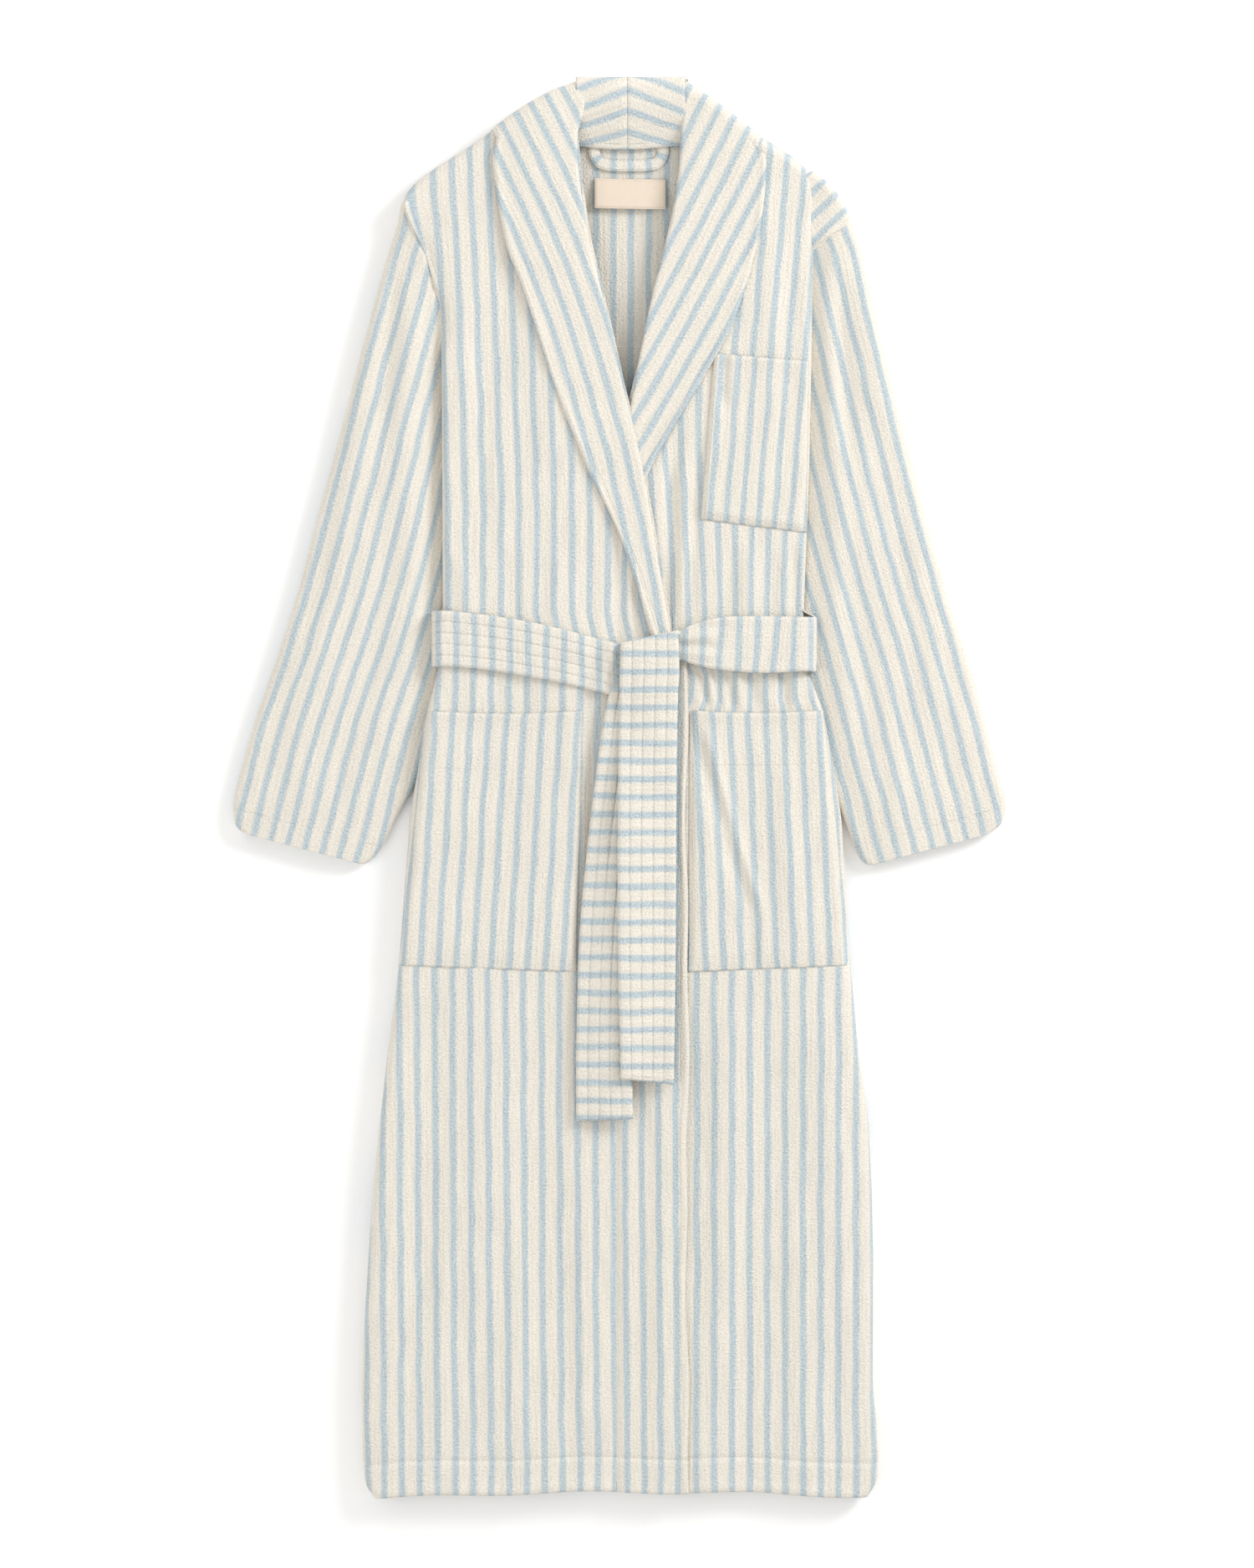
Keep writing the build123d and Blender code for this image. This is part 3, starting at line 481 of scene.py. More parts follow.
def front_grid(side, outline, edge, surface, rows=330):
    """Grids of one front. edge is its inner edge, in stations of depth and x."""
    depth = rows_to_hem(FRONT_START, rows)
    half = measured(depth, outline, OUTLINE_BLUR)
    armhole = ease(98, 116, depth) * (1 - ease(186, 208, depth)) if side < 0 else 0 * depth
    radius = FOLD + 7 * (1 - ease(70, 112, depth)) + 3 * ease(640, 720, depth)
    tallness = np.minimum(radius, 0.45 * LEFT_TOP) * (1 - 0.85 * armhole)
    out, drop = side_fold(half, side * measured(depth, edge, 3.0), radius, tallness)
    x = side * out
    down = down_to_hem(x, np.repeat(depth[:, None], x.shape[1], axis=1))
    up = hem_depth(x) - down
    hem_roll = 0.7 * np.exp(-(((up - 5) / 5) ** 2)) + hem_relief(up)
    return x, down, surface(x, down) - drop + hem_roll


BAND_SEAM = -7.5  # mm from the centre back
RIGHT_EDGE = [(18, -45), (59, -41), (95, -38), (141, -31), (180, -22), (230, -10), (276, 0), (308, 8),
              (357, 19), (414, 29), (449, 35), (492, 42), (512, 42), (522, BAND_SEAM), (1276, BAND_SEAM)]
x, depth, z = front_grid(-1, RIGHT_OUTLINE, RIGHT_EDGE, right_surface)
lean = np.interp(depth, [60, 100, 156, 231, 381, 480, 520, 620, 800, 1050, 1276],
                 [-12, -9.5, -6.8, -3.8, 1, 1, 8, 8, 5, 6.5, 8.5])
lean = lean - 9 * np.exp(-(x + 197) / 16) * (1 - ease(100, 170, depth)) * (x < -100)
right_front = cloth_piece("right_front_cloth", x, depth, z, x - lean - stretch_along(x, depth, z),
                          -depth, from_hem_stitches(x, depth), cut_col=0)
right_front_area = patch_area(x, depth, z)

LEFT_EDGE = [(18, 47), (59, 50), (102, 47), (150, 36), (203, 23), (256, 12), (295, 2), (330, -8), (480, -8),
             (512, 8), (1276, 8)]
x, depth, z = front_grid(1, LEFT_OUTLINE, LEFT_EDGE, left_surface)
crowd = 1 - 0.11 * np.exp(-(((depth - 510) / 130) ** 2))
lean = 0.09 * (260 - np.minimum(depth, 260))
lean = lean + np.interp(depth, [260, 500, 540, 1276], [1.0, 1.0, -0.5, -0.5])
left_front = cloth_piece("left_front_cloth", x, depth, z,
                         120 + (x - 120) / crowd - lean - 0.5 + stretch_along(x, depth, z), -depth,
                         from_hem_stitches(x, depth))
left_front_area = patch_area(x, depth, z)
print("fronts", round(right_front_area, 3), round(left_front_area, 3), "square metres")

# %% [markdown]
# ## Front bands
#
# The shawl collar carries on down the front as a straight band, 64 mm wide, with a soft rolled
# edge. It is sewn to the front, so the seam is a shallow valley that both sheets share. The
# band of the left front lies out of sight underneath, until the corner of the robe is turned
# back.


# %% Sew on the bands
BAND_START = 508.0  # mm down, behind the belt


def band_grid(x0, x1, surface, rows=190, cols=30):
    """Grid of a band from x0 to x1: the front's height, with a bead along its free edge."""
    share = np.linspace(0, 1, cols)[None, :]
    down = rows_to_hem(BAND_START, rows)[:, None] + 0 * share
    free = x1 + 1.2 * np.sin(down / 61) + 1.0 * np.sin(down / 23 + 1)
    x = x0 + (free - x0) * share
    down = down_to_hem(x, down)
    near = np.abs(x - free)
    bead = 1.6 * np.exp(-(((near - 3.2) / 2.6) ** 2)) - 1.5 * ease(1.6, 0, near)
    return x, down, surface(x, down) + bead + hem_relief(hem_depth(x) - down)


def under_band(x, depth):
    """Height of the band on the left front, which lies flat and hidden."""
    return LEFT_TOP - 0.4 + 0.3 * ripple(x, depth, 5)


x, depth, z = band_grid(BAND_SEAM, 56.5, right_surface)
beside_seams = np.minimum(np.abs(x + 4), np.abs(x - 49.5))
right_band = cloth_piece(
    "right_band_cloth", x, depth, z, (x - 1.5) * 16 / 15 + 1.2 * np.sin(depth / 120), -depth,
    np.minimum(beside_seams, np.abs(from_hem_stitches(x, depth))), cut_col=0)
right_band_area = patch_area(x, depth, z)
x, depth, z = band_grid(8.4, -55, under_band)
left_band = cloth_piece("left_band_cloth", x, depth, z, x, -depth, from_hem_stitches(x, depth))

# %% [markdown]
# ## Back
#
# The back is one sheet under everything. Its inside shows in the neck, behind the label, so the
# stripes there have to run straight down. At both sides it turns up to meet the fronts, and it
# rises over the fall of the collar at the top and over the belt behind the waist.

# %% Cut the back
BACK_RISE = [(20, 4.2), (85, 4.2), (112, 0), (448, 0), (474, 5.2), (536, 5.2), (562, 0), (1276, 0)]
depth = np.linspace(24, ROBE_LENGTH, 210)
half = measured(depth, LEFT_OUTLINE, OUTLINE_BLUR)
tuck = 4 + 8 * ease(150, 205, depth) * (1 - ease(560, 640, depth))
share = np.linspace(-1, 1, 74)[None, :]
x = (half - tuck - FOLD)[:, None] * share
angle = np.radians(np.linspace(12, 80, 6))[None, :]
turned = (half - tuck - FOLD)[:, None] + FOLD * np.sin(angle)
lift = FOLD * (1 - np.cos(angle)) + 0 * turned
x = np.hstack([-turned[:, ::-1], x, turned])
lift = np.hstack([lift[:, ::-1], 0 * share + 0 * half[:, None], lift])
down = down_to_hem(x, depth[:, None] + 0 * x, past=1.0)
z = CLOTH + 0.3 + measured(down, BACK_RISE, 8.0) + lift + 0.25 * ripple(x, down, 21) * (down > 130)
back = cloth_piece("back_cloth", x, down, z, x - 5.5 + stretch_along(x, down, z), -down)
back_area = patch_area(x, down, z)
print("back", round(back_area, 3), "square metres")

# %% [markdown]
# ## Shawl collar
#
# A shawl collar has no notch: one long strip stands up behind the neck and turns down along the
# roll line on each side. Its stripes are cut on a slant, so they run into the roll line near
# the neck and lie along it further down, and behind the neck the two halves meet in a chevron.
#
# Each half is drawn between two curves, the roll line and the outer edge. Its rows fan out, and
# the first points of each row turn under in a small half circle, which is the roll. At the top the
# sheet goes over the shoulder in a larger one.


# %% Lay the lapels
def lapel_grid(inner, outer, level, top_normal, bulge, roll=3.4, over=10.0, rows=150, cols=34):
    """Grid between an inner and an outer curve from the waist up. Across: a half circle of radius
    roll, then flat. Along: flat, then over the shoulder in a circle of radius over."""
    t = np.linspace(0, 1, rows)
    a, b = through(inner, t), through(outer, t)
    reach = np.hypot(*(b - a).T)[:, None]
    unit = (b - a) / reach
    angle = np.radians(np.linspace(165, 0, 9))[None, :]
    flat = roll + (reach - roll) * np.linspace(0.03, 1, cols)
    dist = np.hstack([roll * (1 - np.sin(angle)) + 0 * reach, flat])
    drop = np.hstack([roll * (1 - np.cos(angle)) + 0 * reach, np.zeros((rows, cols))])
    x = a[:, :1] + unit[:, :1] * dist
    down = a[:, 1:] + unit[:, 1:] * dist
    arch = np.sin(math.pi * np.clip(dist / reach, 0, 1)) ** 0.8
    down = down - bulge * arch * ease(0.72, 1, t)[:, None]
    near = reach - dist
    bead = 1.3 * np.exp(-(((near - 3.4) / 2.6) ** 2)) - 1.4 * ease(1.8, 0, near)
    crown = 1.4 * ease(0.55, 0.95, t)[:, None] * np.sin(math.pi * dist / reach)
    z = level - drop + bead * (dist > roll) + crown
    turn = np.radians(np.linspace(12, 172, 14))[:, None]
    nx, nd = top_normal
    back_in, out_again = over * ease(0.86, 1, t)[:, None], over * (np.sin(turn) - 1)
    x = np.vstack([x - nx * back_in, x[-1] + nx * out_again])
    down = np.vstack([down - nd * back_in, down[-1] + nd * out_again])
    z = np.vstack([z, z[-1] - over * (1 - np.cos(turn))])
    edge = np.vstack([near, np.repeat(near[-1:], len(turn), axis=0)])
    return x, down, np.maximum(z, 1.5 + CLOTH), edge


def slant(depth, slopes):
    """How far a slanted stripe has moved sideways at a depth: the running sum of its slope."""
    steps = np.arange(-20, 620, 2.0)
    moved = np.cumsum(np.interp(steps, *zip(*slopes))) * 2.0
    return np.interp(depth, steps, moved)


def cut_in_two(grids, row):
    """The same grids as two pieces that share one row."""
    return [g[: row + 1] for g in grids], [g[row:] for g in grids]


RIGHT_ROLL = [(41, 500), (40.1, 492), (32.5, 449), (26.3, 414), (17, 357), (6.4, 308), (-2, 276),
              (-11.5, 230), (-24, 180), (-32.8, 141), (-40, 95), (-42.3, 59), (-41, 36), (-37.8, 2.4)]
RIGHT_RIM = [(26, 505), (22.3, 497), (3.4, 433.6), (-13.5, 392.4), (-33.3, 352.6), (-49, 314.4),
             (-64, 276), (-84, 213.5), (-95.5, 180), (-105.3, 155), (-113.5, 118), (-118, 84),
             (-119.6, 62), (-119.8, 47)]
RIGHT_SLOPES = [(0, 0.5), (110, 0.48), (150, 0.42), (200, 0.36), (260, 0.30), (320, 0.26), (400, 0.21),
                (500, 0.17)]
x, down, z, near = lapel_grid(RIGHT_ROLL, RIGHT_RIM, LAPEL_TOP, (-0.48, -0.88), 6.0)
slope = np.interp(down, *zip(*RIGHT_SLOPES))
u = (x - 4.1 - slant(down, RIGHT_SLOPES) + slant(352.6, RIGHT_SLOPES)) * np.cos(np.arctan(slope))
stitch = np.where(down > 330, np.minimum(np.abs(near - 6.0), np.abs(near - 9.0)), np.abs(near - 5.5))
halves = cut_in_two([x, down, z, u, -down, stitch], 74)
right_lapel_low = cloth_piece("right_lapel_low_cloth", *halves[0], cut_row=-1)
right_lapel_high = cloth_piece("right_lapel_high_cloth", *halves[1], cut_row=0)
right_lapel_area = [patch_area(*h[:3]) for h in halves]

LEFT_ROLL = [(-9, 352), (-1, 322), (5.2, 295), (12.2, 256), (22.9, 203), (36.1, 150), (42.5, 124), (47, 96),
             (49.5, 72), (51, 48), (52.5, 24), (54.5, 2.4)]
LEFT_RIM = [(8, 385), (27, 344), (43.2, 316), (72, 268), (93.7, 229.5), (108, 190.5), (115.5, 165),
            (121, 141), (125, 112), (127, 86), (126.5, 68), (125, 55)]
LEFT_SLOPES = [(0, -0.46), (100, -0.5), (200, -0.53), (330, -0.6), (400, -0.6)]
x, down, z, near = lapel_grid(LEFT_ROLL, LEFT_RIM, LEFT_LAPEL_TOP, (0.5, -0.866), 2.0, roll=2.8, over=9.0)
slope = np.interp(down, *zip(*LEFT_SLOPES))
u = (x - 94.9 - slant(down, LEFT_SLOPES) + slant(149.8, LEFT_SLOPES)) * np.cos(np.arctan(slope))
halves = cut_in_two([x, down, z, u, -down, near - 5.5], 72)
left_lapel_low = cloth_piece("left_lapel_low_cloth", *halves[0], cut_row=-1)
left_lapel_high = cloth_piece("left_lapel_high_cloth", *halves[1], cut_row=0)
left_lapel_area = [patch_area(*h[:3]) for h in halves]

# %% [markdown]
# ## Behind the neck
#
# The collar stands up from the neck seam, rolls over at the top and hangs down behind, where it
# lies under the back. Seen from the side that path is a slope, a half circle and a flat tail.
# The two halves are joined at the centre back.


# %% Roll the back collar
NECK_SEAM = 2.0  # mm, where the two halves meet, a little off the centre
SEAM_LEVEL = 9.0  # mm, height of the seam that joins the collar to the back


def back_collar(name, x0, x1, level=24.0, over=10.5, cols=22):
    """Half the back collar, and its area. Its side view is the path described above. The stripes
    of each half are tilted by 20 degrees, mirrored at the seam between them."""
    turn = np.radians(np.linspace(8, 172, 16))
    stand = np.linspace(62, 2 + over, 22)
    tail = np.linspace(16, 76, 14)
    down = np.concatenate([stand, 2 + over - over * np.sin(turn), tail])
    high = np.concatenate([SEAM_LEVEL + (level - SEAM_LEVEL) * ease(66, 14, stand) ** 0.8,
                           level - over * (1 - np.cos(turn)), np.full(len(tail), level - 2 * over)])
    x = np.linspace(x0, x1, cols)[None, :] + 0 * down[:, None]
    depth = down[:, None] + 1.5 * np.cos(x / 17) * (down[:, None] > 40)
    z = high[:, None] - 0.9 * np.exp(-(((x - NECK_SEAM) / 2.2) ** 2)) + 0 * x
    walked = np.concatenate([[0], np.cumsum(np.hypot(np.diff(down), np.diff(high)))])[:, None]
    tilt = math.radians(20)
    u = math.cos(tilt) * (55.7 - walked - math.tan(tilt) * np.abs(x - NECK_SEAM)) - 52.3
    stitch = np.minimum(np.abs(x - NECK_SEAM), np.abs(depth - 58.5) + 60 * (z > 20))
    piece = cloth_piece(name, x, depth, np.maximum(z, CLOTH + 0.2), u, x, stitch)
    return piece, patch_area(x, depth, z)


right_back_collar, right_collar_area = back_collar("right_back_collar_cloth", -44, NECK_SEAM)
left_back_collar, left_collar_area = back_collar("left_back_collar_cloth", NECK_SEAM, 54)
collar_areas = [*right_lapel_area, *left_lapel_area, right_collar_area, left_collar_area]
print("collar", [round(area, 4) for area in collar_areas])

# %% [markdown]
# ## Sleeves
#
# A sleeve is a tube that has been pressed flat. Each ring of the grid starts at the outer fold,
# runs over the top to the inner fold, and comes back underneath. The inner fold is thin where the
# body lies over it. The stripes run down the sleeve, so u is the distance from the outer fold.


# %% Lay the sleeves
CUFF_CORNER = 9.0  # mm, radius of the corners at the cuff
CUFF_HEM = 19.5  # mm, from the cuff up to its stitches
SLEEVE_CROWD = 0.968  # stripes lie this much closer over a sleeve than over the body


def sleeve_grid(stations, heights, inner_heights, ridges, rows=170):
    """Rings of points between outer and inner fold lines. stations: outer x, depth, inner x,
    depth. Outer end: a half circle; top: height easing from inner to outer over 36 mm."""
    t = np.concatenate([np.linspace(0, 0.985, rows - 14) ** 1.1, np.linspace(0.984, 1, 14)])
    s = np.array(stations, float)
    a, b = through(s[:, :2], t), through(s[:, 2:], t)
    width = np.hypot(*(b - a).T)[:, None]
    unit = (b - a) / width
    mid_depth = 0.5 * (a[:, 1] + b[:, 1])
    high = np.interp(mid_depth, *zip(*heights))[:, None]
    low = np.interp(mid_depth, *zip(*inner_heights))[:, None]
    r, q = high / 2, low / 2
    outer = np.radians(np.linspace(0, 75, 7))[None, :]
    inner = np.radians(np.linspace(80, -80, 9))[None, :]
    back = np.radians(np.linspace(-80, 0, 7))[None, :]
    span = np.linspace(0.02, 1, 44)[None, :]
    over = r + (width - r - q) * span
    under = width - q + (2 * q - width + r) * np.linspace(0, 1, 20)[None, :]
    inner_fold = width - q + q * np.cos(inner)
    dist = np.hstack([r * (1 - np.cos(outer)), over, inner_fold, under, r * (1 - np.cos(back))])
    top = low + (high - low) * ease(0, 36, width - over)
    inner_rise = q * (1 + np.sin(inner))
    z = np.hstack([r * (1 + np.sin(outer)), top, inner_rise, 0 * under, r * (1 + np.sin(back))])
    to_end = np.hypot(*(a - a[-1]).T)[:, None]
    inset = CUFF_CORNER * (1 - np.sqrt(1 - np.clip(1 - to_end / CUFF_CORNER, 0, 1) ** 2))
    dist = inset + dist * (width - 2 * inset) / width
    x, depth = a[:, :1] + unit[:, :1] * dist, a[:, 1:] + unit[:, 1:] * dist
    upper = np.clip(z / high, 0, 1) ** 2
    z = z + upper * (creases(x, depth, ridges) + 0.8 * ripple(x, depth, 14))
    lean = np.sign(s[0, 0]) * 0.267 * np.maximum(depth - s[-3, 1], 0)
    outer_x = np.interp(depth, s[:-2, 1], s[:-2, 0]) + lean
    extra = stretch_along(x, depth, z)
    walked = np.abs(x - outer_x) + extra - extra[:, :1]
    run = b[-1] - a[-1]
    from_cuff = ((depth - a[-1, 1]) * run[0] - (x - a[-1, 0]) * run[1]) / np.hypot(*run)
    return x, depth, np.maximum(z, 0.2), walked, np.abs(from_cuff)


def sleeve(name, shift, *shape):
    """A sleeve, and its area. Its stripes are counted from the outer fold, and moved by shift."""
    x, down, z, walked, from_cuff = sleeve_grid(*shape)
    piece = cloth_piece(name, x, down, z, shift + SLEEVE_CROWD * walked, -down / SLEEVE_CROWD,
                        from_cuff - CUFF_HEM, round_tube=True)
    return piece, patch_area(x, down, z)


RIGHT_SLEEVE = [
    (-194, 104, -158, 199), (-201, 113, -164, 205), (-205, 133, -161, 222), (-215, 165, -160, 245),
    (-229, 216, -160, 290), (-245, 276, -160, 340), (-260.5, 336, -160.5, 390), (-277, 396, -161.5, 445),
    (-292.8, 456, -163, 500), (-311.5, 516, -168, 552), (-332.5, 576, -177, 602), (-344.5, 618, -190.5, 638),
    (-352, 648, -204, 662), (-352, 666, -216, 686), (-349.5, 677, -229, 708.5),
]
RIGHT_SLEEVE_RIDGES = [
    (-205, 150, -222, 330, -3.2, 9), (-190, 190, -205, 420, 2.4, 11), (-176, 205, -182, 330, -2.6, 8),
    (-228, 260, -262, 480, 2.2, 13), (-240, 240, -290, 520, -2.0, 10), (-205, 380, -232, 560, -2.2, 12),
    (-270, 480, -300, 640, 2.0, 14), (-235, 520, -262, 670, -1.6, 12), (-194, 120, -176, 170, 1.6, 8),
]
right_sleeve, right_sleeve_area = sleeve(
    "right_sleeve_cloth", 2.5, RIGHT_SLEEVE,
    [(140, 18), (160, 21), (190, 21.5), (640, 15), (700, 13.5)],
    [(140, 17), (165, 17), (215, 9), (250, 7.5), (560, 7.5), (640, 11), (700, 11)], RIGHT_SLEEVE_RIDGES)

LEFT_SLEEVE = [
    (188, 104, 160, 142), (198, 113, 162, 150), (207, 134, 163, 172), (214.3, 156, 163, 205),
    (227, 216, 163, 262), (241.5, 276, 163, 330), (256.3, 336, 162, 388), (272, 396, 161, 440),
    (288.5, 456, 160, 490), (307.3, 516, 165, 546), (323.8, 576, 172, 590), (335.5, 622, 181.3, 626),
    (343, 648, 194, 658), (341, 665, 204, 684), (334.5, 677, 213.5, 709.5),
]
LEFT_SLEEVE_RIDGES = [
    (190, 175, 204, 350, -3.0, 9), (212, 190, 246, 400, 2.4, 12), (178, 200, 184, 330, 2.0, 8),
    (225, 300, 262, 500, -2.2, 11), (250, 400, 290, 600, 2.2, 14), (200, 420, 226, 600, -2.2, 12),
    (228, 540, 250, 680, 1.8, 12), (282, 560, 300, 660, -1.6, 11),
]
left_sleeve, left_sleeve_area = sleeve(
    "left_sleeve_cloth", 1.0, LEFT_SLEEVE,
    [(120, 15), (150, 18), (190, 19.5), (640, 15), (700, 13.5)],
    [(120, 11), (165, 9), (215, 8), (560, 7.5), (640, 11), (700, 11)], LEFT_SLEEVE_RIDGES)

YOKE_TOP = [(168, 83), (177.5, 89.5), (188, 99.5), (195.5, 110.5), (200, 118), (203, 124)]
YOKE_FOOT = [(158, 100), (158, 125), (160, 146), (164, 157), (181, 147), (199, 134)]
t = np.linspace(0, 1, 40)
top, foot = through(YOKE_TOP, t)[None], through(YOKE_FOOT, t)[None]
angle = np.radians(np.linspace(150, 0, 10))[:, None]
share = np.linspace(0.02, 1, 30)[:, None]
fall = foot - top
OUTWARD = (0.72, -0.69)  # direction of the roll, away from the neck and up
YOKE_ROLL = 7.0  # mm, radius of that roll
rolled = YOKE_ROLL * (np.sin(angle) - 1)
inward = 5 * (1 - share)  # mm, the sheet starts this far inside the roll
x = np.vstack([top[..., 0] + OUTWARD[0] * rolled, top[..., 0] + fall[..., 0] * share - inward])
down = np.vstack([top[..., 1] + OUTWARD[1] * rolled, top[..., 1] + fall[..., 1] * share + inward])
lowered = np.vstack([YOKE_ROLL * (1 - np.cos(angle)), 5.0 * ease(0.72, 1, share)])
z = 17.4 + 2.8 * ease(166, 188, x) - lowered
left_yoke = cloth_piece("left_shoulder_cloth", x, down, z, 0.707 * (x + down), 0.707 * (x - down))
left_yoke_area = patch_area(x, down, z)
print("sleeves", round(right_sleeve_area, 3), round(left_sleeve_area, 3), "square metres")

# %% [markdown]
# ## Pockets
#
# A patch pocket is a second sheet on top of the first. It follows every rise of the front under
# it, stands one thickness higher, and is pressed down along its sewn edges. Only the mouth is
# free, so there the sheet lifts a little. The hip pockets run out to the side fold and go round
# it with the front; the chest pocket is a plain patch.


# %% Lay the pockets
def front_height(side, outline, surface, x, depth):
    """Height of a front at any point: its surface, less the drop R - sqrt(R^2 - s^2) where s is
    how far the point lies out on the side fold."""
    half = measured(depth, outline, OUTLINE_BLUR)
    radius = FOLD + 3 * ease(640, 720, depth)
    out = np.clip(side * x - (half - radius), 0, 0.97 * radius)
    return surface(x, depth) - (radius - np.sqrt(radius**2 - out**2))


def patch(corners, surface_at, lift=3.1, rows=110, cols=74, sag=2.0, soft=6.0):
    """Grid between four corner points, mouth first, standing lift above what is under it. Edges go
    down by an ease over soft mm, the foot over three times that. The mouth stands 1.6 mm prouder,
    and its lip sags down the robe by sag in the middle."""
    a, b, c, d = (np.array(p, float) for p in corners)
    u = np.linspace(0, 1, cols)[None, :, None]
    v = np.linspace(0, 1, rows)[:, None, None] ** 1.1
    p = (1 - v) * ((1 - u) * a + u * b) + v * ((1 - u) * d + u * c)
    x, depth = p[..., 0], p[..., 1] + sag * np.sin(math.pi * u[..., 0]) * (1 - v[..., 0]) ** 2
    wide, tall = math.dist(a, b), math.dist(a, d)
    side = np.minimum(u, 1 - u)[..., 0] * wide
    foot = (1 - v)[..., 0] * tall
    mouth = v[..., 0] * tall
    sewn = ease(-1.0, soft, side) * ease(-2.0, 3.0 * soft, foot)
    z = surface_at(x, depth) + 0.5 + (lift - 0.5) * sewn
    z = z + 1.6 * np.exp(-((mouth / 9) ** 2)) * ease(0, 16, side)
    z = z + 0.3 * np.exp(-(((np.minimum(side, foot) - 6.5) / 3.0) ** 2)) - 1.6 * ease(2.2, 0, mouth)
    stitch = np.abs(side - 2.6)
    return x, depth, z, mouth, stitch


def hip_pocket(name, side, corners, outline, surface, slope, shift, band):
    """A hip pocket, and its area. Its stripes lean by slope; band is the depth of the mouth hem."""

    def height(x, depth):
        return front_height(side, outline, surface, x, depth)

    x, down, z, mouth, stitch = patch(corners, height, sag=2.4)
    z = z + 0.5 * ripple(x, down, 31, wave=70) * ease(0, 30, mouth)
    u = x - shift - slope * (down - 640) + stretch_along(x, down, z) * 0.6
    piece = cloth_piece(name, x, down, z, u, -down, np.minimum(stitch, np.abs(mouth - band)))
    return piece, patch_area(x, down, z)


right_hip, right_hip_area = hip_pocket(
    "right_hip_pocket_cloth", -1, [(-177.5, 568.6), (-38, 568.6), (-43, 802.6), (-203.4, 797)],
    RIGHT_OUTLINE, right_surface, -0.06, 2.2, 51)
left_hip, left_hip_area = hip_pocket(
    "left_hip_pocket_cloth", 1, [(58, 568), (178.5, 568), (203.4, 797), (56, 803)],
    LEFT_OUTLINE, left_surface, 0.045, 1.3, 49)


def chest_under(x, depth):
    """Height of the left front under the chest pocket."""
    return front_height(1, LEFT_OUTLINE, left_surface, x, depth)


CHEST_CORNERS = [(80, 248), (165.3, 255), (163.1, 409), (68, 397)]
CHEST_CREASES = [(90.5, 244, 88, 300, -2.4, 4), (97, 246, 96, 290, 1.2, 5), (150, 260, 140, 400, -1.0, 12)]
x, down, z, mouth, stitch = patch(CHEST_CORNERS, chest_under, lift=4.0, rows=80, cols=60, sag=0.5, soft=3.0)
z = z + creases(x, down, CHEST_CREASES)
turn = math.radians(4.5)
u = (x - 98) * math.cos(turn) + (down - 306) * math.sin(turn)
chest_pocket = cloth_piece("chest_pocket_cloth", x, down, z, u * 16 / 14.5, -down,
                           np.minimum(stitch, np.abs(mouth - 32)))
chest_area = patch_area(x, down, z)
print("pockets", [round(a, 4) for a in (right_hip_area, left_hip_area, chest_area)])

# %% [markdown]
# ## Belt
#
# The belt is a strip of the same terry, folded double and sewn with four long rows of stitches
# that give it five soft channels. Across the strip the height is therefore a row of low arches.
# The stripes lie across it, so here u runs along the belt.
#
# It is tied in one flat knot. What shows of it are two runs to the side folds, the end that
# comes over the top of the knot and hangs down, and the other end, which comes out below.


# %% Quilted strips
CHANNELS = 5
BELT_CLOTH = 3.6  # mm, the strip is double and quilted, so it is a little thicker
BELT_WIDTH = 49.0  # mm
BELT_BEND = 12.0  # mm, radius of the waistband's turn at the side


def channels(across, width, deep):
    """Height of the quilting: lowered by deep c^4 in each channel, c going from -1 to 1 across it,
    and by up to 1.3 mm more along the two edges."""
    share = np.clip(across / width, 0, 1) * CHANNELS
    c = 2 * (share - np.floor(np.clip(share, 0, CHANNELS - 1e-6))) - 1
    edge = np.minimum(across, width - across)
    return -deep * c**4 - 1.3 * ease(2.6, 0, edge)


def to_seam(across, width):
    """Distance from the nearest row of stitches between channels."""
    share = np.clip(across / width, 0, 1) * CHANNELS
    nearest = np.clip(np.round(share), 1, CHANNELS - 1)
    return np.abs(share - nearest) * width / CHANNELS


def belt_run(name, top_line, foot_line, side, level, shift, ridges, pitch, side_half, deep):
    """One run of the waistband between its top and foot lines, then round the side fold in almost
    a half circle. A run that is bunched, with deep below 0.5, shows no stitches."""
    t = np.linspace(0, 1, 120)
    a, b = through(top_line, t), through(foot_line, t)
    turn = np.radians(np.linspace(8, 165, 14))
    bend_x = side * (side_half - BELT_BEND + BELT_BEND * np.sin(turn))
    top_x = np.concatenate([a[:, 0], bend_x])
    top_d = np.concatenate([a[:, 1], np.full(len(turn), a[-1, 1])])
    foot_x = np.concatenate([b[:, 0], bend_x])
    foot_d = np.concatenate([b[:, 1], np.full(len(turn), b[-1, 1])])
    drop = np.concatenate([0 * t, BELT_BEND * (1 - np.cos(turn))])[None, :]
    share = np.linspace(0, 1, 61)[:, None]
    x = top_x + (foot_x - top_x) * share
    down = top_d + (foot_d - top_d) * share
    across = share * BELT_WIDTH + 0 * x
    z = level - drop + channels(across, BELT_WIDTH, deep) + creases(x, down, ridges) * (drop < 6)
    steps = np.hypot(np.diff(0.5 * (top_x + foot_x)), np.diff(drop[0]))
    walked = np.concatenate([[0], np.cumsum(np.hypot(steps, np.diff(0.5 * (top_d + foot_d))))])[None, :]
    tilt = (foot_x - top_x) * (share - 0.5) * 0.55
    u = (walked + tilt) * 16 / pitch + shift
    stitch = to_seam(across, BELT_WIDTH) + (9 if deep < 0.5 else 0)
    piece = cloth_piece(name, x, down, z, u, across, stitch, BELT_CLOTH)
    return piece, patch_area(x, down, z)


